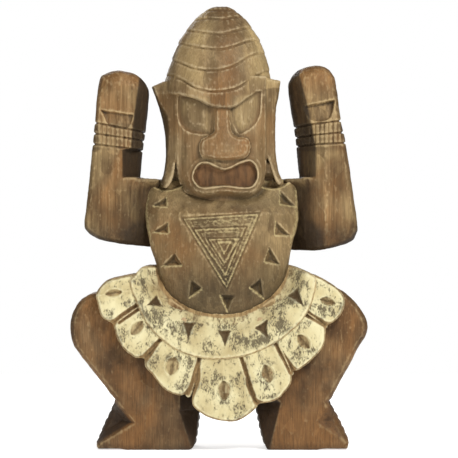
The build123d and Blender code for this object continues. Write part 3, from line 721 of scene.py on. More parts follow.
def carve_arm(node, side, line, facet, wrist, palm, ridge, seed):
    """A raised arm with a mitten hand, a hollowed palm and two rows of beads at the wrist."""
    grid = Grid(node)
    x, y, z = grid.x, grid.y, grid.z
    out = x * side
    edge = drawn(grid, line)
    body = ease(22.0, 15.5, out) * ease(62, 58, z)
    depth = ARM_DEPTH * (1 - 0.0022 * (out - 24.0) ** 2) - 2.8 * body
    slopes = 0.26 * np.clip(FOREARM_CREST - out, 0, 7) + 0.12 * np.clip(out - FOREARM_CREST, 0, 8)
    depth = depth - ridge * slopes * ease(69, 67.5, z)
    depth = depth - 1.4 * ease(49.8, 45.0, z) - bevel(edge, 0.9, 0.6) * (1 - body)
    depth = depth - 2.0 * np.clip(1 + edge / 3.4, 0, 1.2) ** 2 * ease(78.5, 83, z)
    away = drawn(grid, palm)
    top = np.interp(out, [18, 27], [77.4, 77.6])
    pit = ease(0.1, -0.4, away) * np.clip(1.25 - 0.22 * (top - z), 0.3, 1.3)
    values = meet(edge, -(depth - pit) - y, 0.7)
    rear = ARM_DEPTH * (1 - 0.004 * (out - 24.0) ** 2) - 2.2 * body - bevel(edge, 2.4, 1.6) * (1 - body)
    values = meet(values, y - rear, 0.7)
    line_x = np.interp(z, *facet)
    inner = 0.84 * (line_x - out) - 0.54 * (y + ARM_DEPTH - 0.1)
    inner_back = 0.80 * (line_x - 0.8 - out) + 0.60 * (y - ARM_DEPTH + 0.4)
    for cut in (inner, inner_back):
        values = meet(values, np.minimum(cut, z - UPPER_ARM_TOP), 0.7)
    values = values + bracelet_cut(grid, out, wrist)
    # Painted shade on the inner facet, which faces the head, and beside the body.
    stain = (1.05 - 0.2 * ridge) * ease(0.1, -0.3, out - line_x) * ease(61.0, 61.6, z)
    stain = stain + 0.7 * ease(23.6, 18.6, out) * ease(62, 58, z)
    # Painted shade on the elbow's underside and beside the left arm's crest.
    stain = stain + 0.65 * ease(52.5, 48.0, z) + 0.2 * ridge * ease(23.6, 22.6, out) * ease(62, 60, z)
    # Painted shade under the bracelets and along the outline, where the arm turns away.
    stain = stain + 0.3 * ease(1.2, 0.2, np.abs(z - WRIST_FOOT)) * ease(68.4, 67.8, z)
    stain = stain + 0.5 * ease(-1.2, 0.1, edge)
    # The bracelet band is darker; painted shade in the palm's hollow.
    stain = stain + 0.25 * ease(2.8, 2.2, np.abs(z - WRIST_MIDDLE)) + 0.25 * ease(0.1, -0.4, away)
    warmth = 0.5 * hill(out - 24.5, 3) * ease(69, 60, z) + 0.4 * ease(80, 84, z)
    return carve(node, grid, values, seed, cut_size=2.8, cut_depth=0.08, stain=stain, warmth=warmth)


# ---------------------------------------------------------------- legs and feet

RIGHT_LIMB = [
    (-8, 38.0), (-8, 38.0), (-20.0, 36.6), (-26.0, 35.9), (-28.0, 35.4), (-29.9, 34.8), (-32.4, 32.9),
    (-33.9, 29.5), (-34.1, 26.7), (-33.4, 23.8), (-32.2, 21.8), (-24.0, 11.3), (-24.0, 11.3), (-26.5, 5.8),
    (-28.5, 1.2), (-28.5, 1.2), (-28.0, 0), (-28.0, 0), (-7.4, 0), (-7.4, 0), (-6.1, 1.4), (-5.2, 8.8),
    (-5.0, 20), (-5.0, 20)]
LEFT_LIMB = [
    (8, 38.0), (8, 38.0), (20.0, 36.8), (25.2, 36.2), (27.5, 35.4), (30.6, 32.4), (32.7, 28.6), (32.4, 25.8),
    (30.5, 22.6), (24.2, 10.8), (24.2, 10.8), (26.5, 6.7), (28.9, 1.6), (28.9, 1.6), (28.3, 0), (28.3, 0),
    (10.8, 0), (10.8, 0), (9.7, 1.1), (7.8, 9.5), (7.0, 20), (7.0, 20)]
ANKLE = 8.8
# The foot's joints with the leg and the floor: axis and place.
SOLE_AND_ANKLE = ((2, ANKLE), (2, 0.0))
# The worn skin of leg and foot laps this far over the ankle joint, so that no crack shows.
JOINT_LAP = 0.12
# The hip block's half width, foot and top, and how far legs and hips stand out in front and behind.
HIP = 12.0
HIP_FLOOR, HIP_TOP = 19.0, 34.0
LEG_FRONT, LEG_BACK = 9.2, 8.0
# Line on the front from the outer shin down to the fold of the ankle and out to the toe.
RIGHT_FOLD = [(24.0, 11.6), (19.4, 6.1), (28.6, 0.6)]
LEFT_FOLD = [(24.2, 11.2), (21.0, 6.2), (29.0, 1.2)]
TOE_PITCH, TOE_HEIGHT = 1.75, 0.30
FOLD_TOP = 11.6
# Edge of the dark inner facet of each shin and foot: heights, and how far out it stands.
RIGHT_INNER = ([0, 8.6, 12, 19.5], [6.8, 9.6, 9.5, 8.6])
LEFT_INNER = ([0, 10.6, 12.5, 19.5], [10.8, 13.3, 11.0, 7.0])


def left_of(start, end, x, z):
    """How far a point lies to the left of the line from start to end."""
    ex, ez = end[0] - start[0], end[1] - start[1]
    return (ex * (z - start[1]) - ez * (x - start[0])) / np.hypot(ex, ez)


def limb_values(grid, side, line, fold, inner_line):
    """A leg and foot as one shape, which the ankle joint then divides."""
    x, y, z = grid.x, grid.y, grid.z
    out = x * side
    bare_edge = drawn(grid, line)
    slope = np.array(fold[2]) - np.array(fold[0])
    slope = slope / np.linalg.norm(slope)
    along = (out - fold[0][0]) * slope[0] + (z - fold[0][1]) * slope[1]
    on_foot = ease(FOLD_TOP, FOLD_TOP - 1.0, z)
    toes = TOE_HEIGHT * np.abs(np.sin(np.pi * along / TOE_PITCH)) * on_foot * ease(-4.5, -1.0, y)
    edge = bare_edge - toes + 0.25 * on_foot * ease(21, 23, out)
    rim = bevel(edge, 0.9, 0.8) * ease(0.9, 1.3, z)
    knee = bevel(edge, 4.0, 0.9) * ease(20, 27, z)
    crown = 0.5 * ((z - 20.0) / 14.0) ** 2 * ease(24, 12, z)
    depth = LEG_FRONT + 0.3 * hill(z - 28, 7, out - 28, 5) - rim - knee - 0.4 * crown
    above, beside = left_of(fold[1], fold[2], out, z), left_of(fold[1], fold[0], out, z)
    recess = np.clip(np.minimum(above, -beside), 0, 9)
    depth = depth - np.clip(recess * (0.95 - 0.35 * side), 0, 1.9 - 0.6 * side)
    depth = depth - 0.30 * np.clip(recess - 1.6, 0, 5)
    depth = depth - 3.0 * ease(21.0, 19.0, out) * ease(26, 29, z)
    rear = LEG_BACK - bevel(edge, 2.4, 1.8)
    values = meet(edge, meet(-depth - y, y - rear), 0.5)
    line_x = np.interp(z, *inner_line)
    inner = 0.74 * (line_x - out) - 0.67 * (y + LEG_FRONT)
    inner_back = 0.74 * (line_x - out) + 0.67 * (y - LEG_BACK)
    values = np.maximum(values, np.minimum(np.maximum(inner, inner_back), HIP_FLOOR + 0.5 - z))
    # Painted shade on the inner facet and in the toe recess, which faces away from the light.
    stain = 0.85 * ease(0.1, -0.3, out - line_x) * ease(19.5, 18.5, z)
    stain = stain + (0.45 - 0.25 * side) * ease(0.1, 1.0, recess)
    # Painted shade low between the legs and along the knee's edge.
    stain = stain + 0.25 * ease(20, 10, z) * ease(12, 8, out)
    stain = stain + 0.5 * ease(-2.0, 0.0, bare_edge) * ease(20, 26, z)
    # Painted shadow by the floor; the shin is darker below the knee.
    stain = stain + 0.35 * ease(2.0, 0.0, z) + 0.33 * ease(24, 17, z)
    # Painted shadow under the skirt, on the inner thigh.
    stain = stain + 0.3 * ease(24, 18, out) * ease(15, 19, z)
    warmth = 0.7 * hill(out - 24 - 0.35 * (z - 22), 4.5) + 0.4 * ease(10, 5, z)
    return values, {"stain": stain, "warmth": warmth}


def carve_limb(side_name, side, line, fold, inner_line, seed):
    """The leg block and the foot block of one side."""
    blocks = []
    for name in (side_name + "_leg", side_name + "_foot"):
        grid = Grid(name)
        values, shades = limb_values(grid, side, line, fold, inner_line)
        if name.endswith("_leg"):
            values = np.maximum(values, ANKLE - JOINT_LAP - grid.z)
            bounds = np.minimum(HIP - grid.x * side, grid.z - HIP_FLOOR)
        else:
            bounds = np.maximum(grid.z - ANKLE - JOINT_LAP, -grid.z)
        values = np.maximum(values, bounds)
        blocks.append(carve(name, grid, values, seed, 3.0, 0.09, joints=SOLE_AND_ANKLE, **shades))
    return blocks


def carve_hips():
    """The core behind the skirt."""
    grid = Grid("hip_block", margin=0.6)
    box = np.maximum(np.abs(grid.x) - HIP, np.maximum(-LEG_FRONT - grid.y, grid.y - LEG_BACK))
    box = np.maximum(box, np.maximum(HIP_FLOOR - grid.z, grid.z - HIP_TOP))
    box = np.maximum(box, -drawn(grid, TORSO))
    return carve("hip_block", grid, box, 71, cut_size=3.0, cut_depth=0.1)


# ---------------------------------------------------------------- skirt

UPPER_TIER = [
    (-12.0, 41.3), (-12.0, 41.3), (-15.3, 41.3), (-18.0, 41.0), (-19.7, 39.4), (-20.9, 38.0), (-20.6, 36.0),
    (-19.9, 34.0), (-18.7, 31.2), (-17.0, 28.0), (-13.8, 24.6), (-9.6, 21.8), (-4.0, 20.2), (1.8, 20.2),
    (6.9, 21.3), (12.4, 23.9), (17.2, 27.8), (19.6, 31.0), (20.9, 34.5), (21.4, 38.1), (20.0, 39.6),
    (15.5, 41.3), (12.0, 41.3), (12.0, 41.3)]
UPPER_CHIPS = [
    [(-17.3, 32.2), (-14.8, 35.0), (-13.5, 32.0)], [(-8.9, 28.6), (-6.0, 28.4), (-7.7, 24.4)],
    [(-1.0, 26.7), (2.1, 26.7), (0.7, 22.6)], [(7.2, 27.2), (10.5, 29.4), (10.4, 24.9)],
    [(14.7, 34.4), (18.6, 32.0), (17.2, 36.4)]]
# Where paint is rubbed grey: middle, half width, half height and strength.
UPPER_SMEARS = [(-17.5, 37.5, 2.2, 0.8, 0.7), (-14.8, 31.0, 2.6, 1.6, 0.6), (-9.5, 26.0, 3.0, 2.0, 0.4),
                (8.5, 24.6, 4.5, 1.5, 0.6), (16.3, 33.6, 1.7, 1.5, 0.9), (12.4, 28.8, 3.0, 1.0, 0.5)]
PETALS = [
    [(-28.0, 35.0), (-26.3, 37.3), (-24.3, 38.1), (-18.9, 38.9), (-18.4, 36.0), (-18.2, 33.8), (-22.1, 31.1),
     (-24.8, 29.2), (-26.8, 29.9), (-27.8, 32.9)],
    [(-23.8, 28.0), (-21.9, 29.8), (-17.0, 32.6), (-15.4, 29.6), (-12.6, 26.2), (-18.2, 21.1), (-20.9, 21.8),
     (-22.9, 24.1), (-23.8, 26.5)],
    [(-12.4, 25.6), (-9.0, 24.2), (-4.9, 23.0), (-6.5, 16.7), (-8.4, 12.8), (-10.6, 12.6), (-13.1, 14.0),
     (-15.3, 16.7), (-17.0, 18.9), (-15.8, 21.1)],
    [(-4.2, 22.8), (-4.9, 15.6), (-6.4, 10.9), (-5.4, 9.0), (-2.3, 7.2), (1.8, 6.5), (4.4, 7.1), (7.2, 9.3),
     (6.9, 10.9), (5.5, 14.4), (4.3, 22.8)],
    [(5.4, 22.8), (6.6, 14.6), (7.9, 11.4), (9.9, 10.7), (12.0, 11.3), (13.6, 12.6), (15.4, 16.4),
     (11.8, 25.0)],
    [(12.0, 25.6), (16.2, 18.8), (18.3, 18.8), (22.2, 22.6), (23.1, 25.6), (22.4, 27.9), (17.6, 31.4),
     (14.8, 28.0)],
    [(18.2, 32.3), (22.4, 29.4), (24.7, 28.7), (26.9, 31.0), (27.3, 34.0), (25.0, 36.6), (19.8, 38.9),
     (19.2, 34.5)]]
# The grooves between the petals, each from its outer to its inner end.
PETAL_GROOVES = [
    [(-23.2, 28.5), (-17.9, 32.2)], [(-17.6, 20.9), (-12.6, 25.9)], [(-7.6, 12.1), (-4.6, 22.0)],
    [(7.4, 11.2), (3.9, 22.0)], [(15.6, 17.0), (11.8, 24.2)], [(23.3, 27.7), (17.9, 30.8)]]
# Middle, angle of the long axis, half length and half width of the dimple in each petal.
DIMPLES = [(-24.5, 35.1, 8, 2.0, 1.05), (-19.2, 27.2, 50, 2.1, 1.5), (-11.2, 18.6, 78, 2.2, 1.85),
           (0.5, 13.1, 92, 2.3, 1.8), (10.3, 16.9, 105, 2.2, 1.7), (18.5, 24.1, 130, 2.1, 1.5),
           (23.9, 33.2, 165, 1.9, 1.15)]
DIMPLE_DEPTH = 0.95
UPPER_CHIP_DEPTH = 1.1
# The skirt's depth, in front and behind, at its reach from its centre, whose height comes first.
# Nearer in it loses its flare for each unit.
SKIRT_CENTRE, SKIRT_REACH = 40.0, 34.0
FRONT_RIM, BACK_RIM = 13.6, 11.4
SKIRT_FLARE = 0.15
# How far the upper tier stands over the petals, in front and behind, where it covers the dowels.
FRONT_STEP, BACK_STEP = 0.75, 1.25
# How far the upper tier goes behind the belly's edge, and how far the petals do.
UPPER_LAP, LOWER_LAP = 1.0, 1.5
# The petals are hollow over the legs and hips out to this distance from the middle.
SKIRT_HOLLOW = 20.0
# The front and back of the skirt meet on this plane: axis and place.
SKIRT_JOINT = ((1, 0.0),)
# The skirt's outlines are drawn as they look from the front. Its places are nearer the eye than the
# rest of the figure, so they are drawn in towards the point that the eye faces, across and up.
EYE_POINT = (1.6, 49.6)
SKIRT_KEEP = 0.987


class NearPlaces:
    """The places of a grid as they look from the front."""

    def __init__(self, grid, keep):
        self.x = EYE_POINT[0] + (grid.x - EYE_POINT[0]) / keep
        self.y = grid.y
        self.z = EYE_POINT[1] + (grid.z - EYE_POINT[1]) / keep


def skirt_depth(grid, facing):
    """How far the petals stand from the body's axis, flaring with distance from the belly."""
    rim = FRONT_RIM if facing < 0 else BACK_RIM
    return rim - SKIRT_FLARE * (SKIRT_REACH - np.hypot(grid.x, grid.z - SKIRT_CENTRE))


def almond(grid, x, z, angle, half_length, half_width):
    """How far inside a leaf-shaped outline each point lies, as a share of its half width."""
    turn = math.radians(angle)
    along = (grid.x - x) * math.cos(turn) + (grid.z - z) * math.sin(turn)
    across = (grid.z - z) * math.cos(turn) - (grid.x - x) * math.sin(turn)
    width = half_width * np.clip(1 - (along / half_length) ** 2, 0, 1) ** 0.6
    return (width - np.abs(across)) / half_width


def band_depth(grid, facing, belly):
    """How far the upper tier stands out: it slopes up from the belly's edge."""
    full = skirt_depth(grid, facing) + (FRONT_STEP if facing < 0 else BACK_STEP)
    start = np.minimum(belly_depth(grid) - 1.0, full) if facing < 0 else full - 0.2
    return start + (full - start) * ease(-0.5, 4.5, belly)


def carve_upper_tier(node, facing, seed):
    """The band that follows the belly, with a row of chip cuts."""
    grid = Grid(node)
    seen = NearPlaces(grid, SKIRT_KEEP)
    ahead = grid.y * facing
    edge = drawn(seen, UPPER_TIER)
    belly = drawn(grid, TORSO)
    depth = band_depth(grid, facing, belly) - bevel(edge, 0.6, 0.45)
    chips = sum(chip(seen, corners, UPPER_CHIP_DEPTH) for corners in UPPER_CHIPS)
    values = meet(edge, ahead - depth + chips, 0.5)
    values = np.maximum(values, np.maximum(-ahead, -belly - UPPER_LAP))
    paint = ease(-0.2, -0.6, edge) * (0.7 * ease(0.15, 0.5, belly) + 0.3 * ease(1.5, 3.0, belly))
    # The chip pits lose their paint and are filled with painted shade; the smears are rubbed grey paint.
    wells = sum(ease(0.05, -0.4, outline(seen, np.array(corners))) for corners in UPPER_CHIPS)
    paint = paint * (1 - 0.75 * wells)
    stain = 0.8 * wells
    for x, z, width, height, level in UPPER_SMEARS:
        stain = stain + level * hill(seen.x - x, width, seen.z - z, height)
    return carve(node, grid, values, seed, 2.2, 0.06, joints=SKIRT_JOINT, paint=paint, stain=stain)


def carve_lower_tier(node, facing, seed):
    """The fan of seven petals, with a dimple in each."""
    grid = Grid(node, margin=1.2)
    seen = NearPlaces(grid, SKIRT_KEEP)
    ahead = grid.y * facing
    petals = [drawn(seen, line) for line in PETALS]
    nearest = web = petals[0]
    for petal in petals[1:]:
        nearest, web = np.minimum(nearest, petal), join(web, petal, 2.4)
    gaps = np.minimum.reduce([stroke(seen, line) for line in PETAL_GROOVES])
    nearest = np.maximum(nearest, 0.45 - gaps)
    upper = drawn(seen, UPPER_TIER)
    belly = drawn(grid, TORSO)
    web = np.minimum(np.minimum(web - 0.4, gaps - 0.65), upper + 0.6)
    cut = np.zeros_like(nearest)
    for place in DIMPLES:
        inside = almond(seen, *place)
        cut = cut + DIMPLE_DEPTH * np.clip(inside, 0, 1) - 0.14 * hill(inside, 0.16)
    depth = skirt_depth(grid, facing) - np.clip(0.2 + nearest * 1.6, 0, 1.2)
    depth = np.minimum(depth, band_depth(grid, facing, belly) - 1.5 + 9 * ease(-1.0, -0.5, upper))
    values = meet(web, ahead - depth + cut, 0.4)
    limbs = np.minimum(drawn(grid, RIGHT_LIMB), drawn(grid, LEFT_LIMB))
    behind = (LEG_FRONT if facing < 0 else LEG_BACK) - ahead
    hollow = np.maximum(SKIRT_HOLLOW - np.abs(grid.x), -0.4 - limbs)
    values = np.maximum(values, np.minimum(hollow, behind))
    values = np.maximum(values, np.maximum(-ahead, -belly - LOWER_LAP))
    paint = ease(0.15, -0.15, nearest) * (1 - 0.6 * ease(0.05, 0.3, cut))
    # Painted shade in the grooves at the petals' edges and in the depths of the dimples.
    stain = 0.12 * ease(-0.4, -0.1, nearest) * ease(0.5, 0.1, nearest) + 0.1 * ease(0.5, 1.0, cut)
    return carve(node, grid, values, seed, 2.0, 0.05, joints=SKIRT_JOINT, paint=paint, stain=stain)


# ---------------------------------------------------------------- materials


# Sockets of a colour Mix node: factor, first colour and second colour, and the result.
MIX_INPUTS, MIX_OUTPUT = (0, 6, 7), 2


class Finish:
    """A procedural material, with short names for the nodes that it is built from."""

    def __init__(self, name):
        self.material = bpy.data.materials.new(name)
        self.material.use_nodes = True
        self.tree = self.material.node_tree
        self.shader = self.tree.nodes["Principled BSDF"]
        self.place = self.tree.nodes.new("ShaderNodeTexCoord").outputs["Object"]

    def put(self, socket, value):
        """Links an output, or sets a plain value."""
        if isinstance(value, bpy.types.NodeSocket):
            self.tree.links.new(value, socket)
        elif isinstance(value, tuple):
            socket.default_value = (*value, 1.0)
        else:
            socket.default_value = value

    def node(self, kind, inputs=(), **settings):
        """A node with its settings, and with values or links for its inputs."""
        node = self.tree.nodes.new("ShaderNode" + kind)
        for key, value in settings.items():
            setattr(node, key, value)
        for key, value in inputs:
            self.put(node.inputs[key], value)
        return node

    def number(self, name):
        """A number stored on the mesh."""
        return self.node("Attribute", attribute_name=name).outputs["Fac"]

    def grain(self, scale, detail=3.0, distortion=0.0):
        """Noise with its own number of features per metre along x, y and z."""
        mapping = self.node("Mapping", [("Vector", self.place)])
        mapping.inputs["Scale"].default_value = scale
        inputs = [("Scale", 1.0), ("Detail", detail), ("Distortion", distortion)]
        return self.node("TexNoise", inputs + [("Vector", mapping.outputs["Vector"])]).outputs["Fac"]

    def math(self, operation, a, b):
        """One step of arithmetic."""
        return self.node("Math", [(0, a), (1, b)], operation=operation).outputs[0]

    def add(self, a, b):
        """The sum of two values."""
        return self.math("ADD", a, b)

    def times(self, a, b):
        """The product of two values."""
        return self.math("MULTIPLY", a, b)

    def span(self, value, low, high, start=0.0, end=1.0):
        """A value stretched from low..high to start..end and held there."""
        inputs = [("Value", value), ("From Min", low), ("From Max", high), ("To Min", start), ("To Max", end)]
        return self.node("MapRange", inputs).outputs["Result"]

    def mix(self, share, a, b, kind="MIX"):
        """Two colours blended."""
        node = self.node("Mix", data_type="RGBA", blend_type=kind)
        for key, value in zip(MIX_INPUTS, (share, a, b)):
            self.put(node.inputs[key], value)
        return node.outputs[MIX_OUTPUT]

    def tint(self, colour, value, low, high, strength, target):
        """A colour that turns towards another as a value goes from low to high."""
        return self.mix(self.span(value, low, high, 0.0, strength), colour, target)

    def ramp(self, value, stops):
        """Colours along a value."""
        node = self.node("ValToRGB")
        while len(node.color_ramp.elements) < len(stops):
            node.color_ramp.elements.new(0.5)
        for element, (place, colour) in zip(node.color_ramp.elements, stops):
            element.position = place
            element.color = (*colour, 1.0)
        self.put(node.inputs["Fac"], value)
        return node.outputs["Color"]

    def finish(self, colour, roughness, height, bump_depth):
        """Wires the results to the shader. The bump depth is in metres."""
        bump = self.node("Bump", [("Distance", bump_depth), ("Height", height)])
        self.put(self.shader.inputs["Normal"], bump.outputs["Normal"])
        self.put(self.shader.inputs["Base Color"], colour)
        self.put(self.shader.inputs["Roughness"], roughness)
        return self.material


def shade_by(finish, colour, amount):
    """A colour made darker or lighter by a number about one."""
    grey = finish.ramp(finish.times(amount, 0.5), [(0.0, (0, 0, 0)), (1.0, (2, 2, 2))])
    return finish.mix(1.0, colour, grey, "MULTIPLY")


WARM_WOOD = (0.33, 0.155, 0.050)
PALE_WOOD = (0.50, 0.37, 0.17)
# Each timber's colours: dark streak, middle, light streak, worn edge, and the dark of stain and painted
# shade.
ARM_TIMBER = [(0.085, 0.046, 0.018), (0.20, 0.118, 0.048), (0.34, 0.22, 0.10), (0.56, 0.41, 0.21),
              (0.030, 0.020, 0.012)]
CHEST_TIMBER = [(0.10, 0.061, 0.026), (0.20, 0.132, 0.058), (0.31, 0.205, 0.095), (0.62, 0.47, 0.25),
                (0.04, 0.028, 0.014)]
HEAD_TIMBER = [(0.12, 0.073, 0.032), (0.22, 0.145, 0.067), (0.36, 0.25, 0.125), (0.62, 0.48, 0.28),
               (0.05, 0.034, 0.017)]
LEG_TIMBER = [(0.060, 0.031, 0.013), (0.15, 0.081, 0.033), (0.27, 0.165, 0.075), (0.50, 0.35, 0.17),
              (0.028, 0.018, 0.011)]
SKIRT_TIMBER = [(0.17, 0.10, 0.04), (0.34, 0.22, 0.095), (0.46, 0.32, 0.15), (0.62, 0.48, 0.25),
                (0.075, 0.045, 0.02)]
# Depth of the bump on timber, in metres, and how strongly its wax shines.
TIMBER_RELIEF = 0.0012
WAX_GLOSS, PAINT_GLOSS = 0.18, 0.2


def timber(finish, colours, grain=(75, 75, 4), streak=1.0, facet_shade=0.12, blush=0.5, dirt=0.85,
           cool=PALE_WOOD):
    """The colour and relief of waxed hardwood: streaks, fibres, blushes, worn edges, stain and painted shade.
    """
    dark, middle, light, worn, hollow_colour = colours
    streaks = finish.grain(grain, detail=5, distortion=0.9)
    fibres = finish.grain((480, 480, 18), detail=4)
    spread = 0.22 / streak
    colour = finish.ramp(streaks, [(0.5 - spread, dark), (0.5, middle), (0.5 + spread, light)])
    colour = finish.tint(colour, finish.grain((15, 15, 10), detail=5), 0.44, 0.66, 0.6, light)
    colour = finish.tint(colour, finish.grain((19, 19, 12), detail=5), 0.46, 0.66, 0.75, dark)
    warmth = finish.span(finish.grain((11, 11, 8), detail=4, distortion=0.5), 0.35, 0.65, -blush, blush)
    warmth = finish.add(warmth, finish.number("warmth"))
    warmth = finish.add(warmth, finish.span(finish.number("facet"), 0, 1, facet_shade, -facet_shade))
    colour = finish.tint(colour, warmth, 0.0, 1.0, 0.7, WARM_WOOD)
    colour = finish.tint(colour, warmth, 0.0, -1.0, 0.55, cool)
    colour = finish.tint(colour, fibres, 0.44, 0.62, 0.4, dark)
    facets = finish.span(finish.number("facet"), 0, 1, 1 - facet_shade, 1 + facet_shade)
    colour = shade_by(finish, colour, facets)
    ragged = finish.span(finish.grain((170, 170, 70), detail=4), 0.3, 0.7, -0.6, 0.6)
    fine, broad = finish.number("hollow"), finish.number("broad_hollow")
    edges = finish.add(finish.times(fine, -20.0), finish.times(broad, -0.6))
    colour = finish.tint(colour, finish.add(edges, ragged), 0.4, 2.0, 0.65, worn)
    # Hollows darken: partly stain lodged in the grooves, partly painted shade.
    pits = finish.add(finish.times(fine, 7.0), finish.times(broad, 2.4))
    pits = finish.add(pits, finish.times(ragged, 0.3))
    colour = finish.tint(colour, pits, 0.25, 2.0, dirt, hollow_colour)
    # Stain and painted shade from the mesh darken towards the hollow colour.
    dirty = finish.add(finish.number("stain"), finish.times(ragged, 0.12))
    colour = finish.tint(colour, dirty, 0.06, 1.0, 0.92, hollow_colour)
    height = finish.add(finish.times(fibres, 0.6), finish.times(streaks, 0.4))
    height = finish.add(height, finish.times(ragged, 0.25))
    return colour, height, streaks


def waxed_wood(name, colours, coat=None, **look):
    """Timber with a thin wax gloss, and a coat of paint or tint where one is given."""
    finish = Finish(name)
    colour, height, streaks = timber(finish, colours, **look)
    if coat:
        colour = coat(finish, colour)
    finish.shader.inputs["Specular IOR Level"].default_value = WAX_GLOSS
    return finish.finish(colour, finish.span(streaks, 0.3, 0.7, 0.65, 0.5), height, TIMBER_RELIEF)


def brown_wood():
    """The timber of the arms and the hip block."""
    return waxed_wood("brown_wood", ARM_TIMBER, streak=1.3)


def red_brown_wood():
    """The legs' timber, redder and darker."""
    return waxed_wood("red_brown_wood", LEG_TIMBER, grain=(30, 30, 12), streak=0.75, blush=0.75,
                      cool=(0.14, 0.095, 0.05))


def olive_paint(finish, colour):
    """Rubbed paint over a colour."""
    flecks = finish.span(finish.grain((150, 150, 190), detail=5), 0.38, 0.62, -0.55, 0.05)
    cover = finish.add(finish.number("paint"), flecks)
    return finish.tint(colour, cover, 0.0, 0.9, 0.85, (0.54, 0.43, 0.21))


def chest_wood():
    """Greener timber, with rubbed olive paint between the incised triangles and on worn edges."""
    return waxed_wood("chest_wood", CHEST_TIMBER, olive_paint, grain=(40, 40, 12), streak=0.8, blush=0.35)


def mouth_tint(finish, colour):
    """Dark red wood over a colour."""
    fibres = finish.span(finish.grain((90, 90, 25), detail=5), 0.35, 0.7)
    mouth = finish.mix(fibres, (0.07, 0.033, 0.014), (0.20, 0.095, 0.036))
    return finish.mix(finish.times(finish.number("paint"), 0.85), colour, mouth)


def head_wood():
    """The head's timber, with a redder mouth."""
    return waxed_wood("head_wood", HEAD_TIMBER, mouth_tint, streak=0.75, facet_shade=0.42, blush=0.4,
                      dirt=0.55)


# Cream paint from its greyest to its brightest cloud.
CREAM_CLOUDS = [(0.3, (0.47, 0.37, 0.18)), (0.5, (0.66, 0.57, 0.315)), (0.7, (0.78, 0.71, 0.43))]


def distressed_cream():
    """Cream paint rubbed through to charcoal and tan wood, with painted shade and highlights."""
    finish = Finish("distressed_cream")
    wood, height, _ = timber(finish, SKIRT_TIMBER, streak=0.8, blush=0.2)
    clouds = finish.grain((16, 16, 13), detail=4)
    cream = finish.ramp(clouds, CREAM_CLOUDS)
    small = finish.grain((330, 330, 190), detail=5)
    medium = finish.grain((85, 85, 50), detail=6, distortion=0.7)
    # Grey smears rubbed into the paint, and painted shade in the chip pits, both as charcoal.
    rubbed_and_shaded = finish.times(finish.number("stain"), 0.19)
    smears = finish.span(finish.grain((20, 20, 26), detail=3), 0.42, 0.64, -0.04, 0.09)
    smears = finish.add(smears, rubbed_and_shaded)
    flecks = finish.add(finish.times(small, 0.6), finish.times(medium, 0.4))
    flecks = finish.add(flecks, smears)
    # More charcoal in the hollows, partly grime and partly painted shade.
    flecks = finish.add(flecks, finish.times(finish.number("hollow"), 0.35))
    cream = finish.tint(cream, finish.add(medium, smears), 0.50, 0.72, 0.55, (0.36, 0.29, 0.16))
    charcoal = finish.span(flecks, 0.535, 0.65)
    cream = finish.mix(finish.times(charcoal, 0.85), cream, (0.095, 0.074, 0.042))
    # Browner paint in broad hollows and darker in fine ones: grime and painted shade.
    cream = finish.tint(cream, finish.number("broad_hollow"), 0.02, 0.25, 0.6, (0.26, 0.18, 0.085))
    cream = finish.tint(cream, finish.number("hollow"), 0.015, 0.10, 0.8, (0.10, 0.07, 0.035))
    cover = finish.add(finish.number("paint"), finish.span(medium, 0.3, 0.7, 0.2, -0.2))
    colour = finish.mix(finish.span(cover, 0.2, 0.75), wood, cream)
    # Painted highlight: brighter cream along raised edges.
    painted_highlight = finish.times(finish.number("hollow"), -14.0)
    painted_highlight = finish.add(painted_highlight, finish.span(small, 0.3, 0.7, -0.4, 0.4))
    colour = finish.tint(colour, painted_highlight, 0.3, 1.6, 0.65, (0.83, 0.76, 0.49))
    height = finish.add(height, finish.times(charcoal, -1.1))
    finish.shader.inputs["Specular IOR Level"].default_value = PAINT_GLOSS
    return finish.finish(colour, 0.7, height, 0.0015)


def dowel_wood():
    """Plain turned dowel."""
    finish = Finish("dowel_wood")
    rings = finish.grain((300, 300, 18), detail=3)
    colour = finish.ramp(rings, [(0.35, (0.36, 0.24, 0.12)), (0.6, (0.52, 0.37, 0.20))])
    return finish.finish(colour, finish.span(rings, 0.3, 0.7, 0.7, 0.55), rings, 0.0003)


# ---------------------------------------------------------------- the figure


def dress(pieces, material):
    """Gives pieces their material."""
    for piece in pieces:
        piece.data.materials.append(material)


def build_figure():
    """Every carved block, with its wood."""
    brown = brown_wood()
    dress([carve_head()], head_wood())
    dress([carve_torso()], chest_wood())
    arms = [carve_arm("right_arm", -1, RIGHT_ARM, RIGHT_FACET, RIGHT_WRIST, RIGHT_PALM, 0.25, 31),
            carve_arm("left_arm", 1, LEFT_ARM, LEFT_FACET, LEFT_WRIST, LEFT_PALM, 1.0, 41)]
    dress(arms + [carve_hips()], brown)
    limbs = [*carve_limb("right", -1, RIGHT_LIMB, RIGHT_FOLD, RIGHT_INNER, 51),
             *carve_limb("left", 1, LEFT_LIMB, LEFT_FOLD, LEFT_INNER, 61)]
    dress(limbs, red_brown_wood())
    skirt = [carve_upper_tier("skirt_upper_front", -1, 81), carve_upper_tier("skirt_upper_back", 1, 82),
             carve_lower_tier("skirt_lower_front", -1, 83), carve_lower_tier("skirt_lower_back", 1, 84)]
    dress(skirt, distressed_cream())
    dowel = dowel_wood()
    for name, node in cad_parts.items():
        if name.endswith("_dowels"):
            node.data.materials.clear()
            node.data.materials.append(dowel)


# ---------------------------------------------------------------- studio

# The picture is this wide at the front plane, which the camera faces from far off.
PICTURE_WIDTH = 103.4
CAMERA_DISTANCE = 600.0
FRONT_PLANE = 5.0
# Name, place, size in metres and power in watts of each lamp.
LAMPS = [("key", (130, -230, 250), 0.9, 78), ("fill", (-190, -240, 80), 1.4, 15),
         ("back", (-60, 260, 190), 1.6, 40)]
LAMP_TARGET = (0, 0, 50)
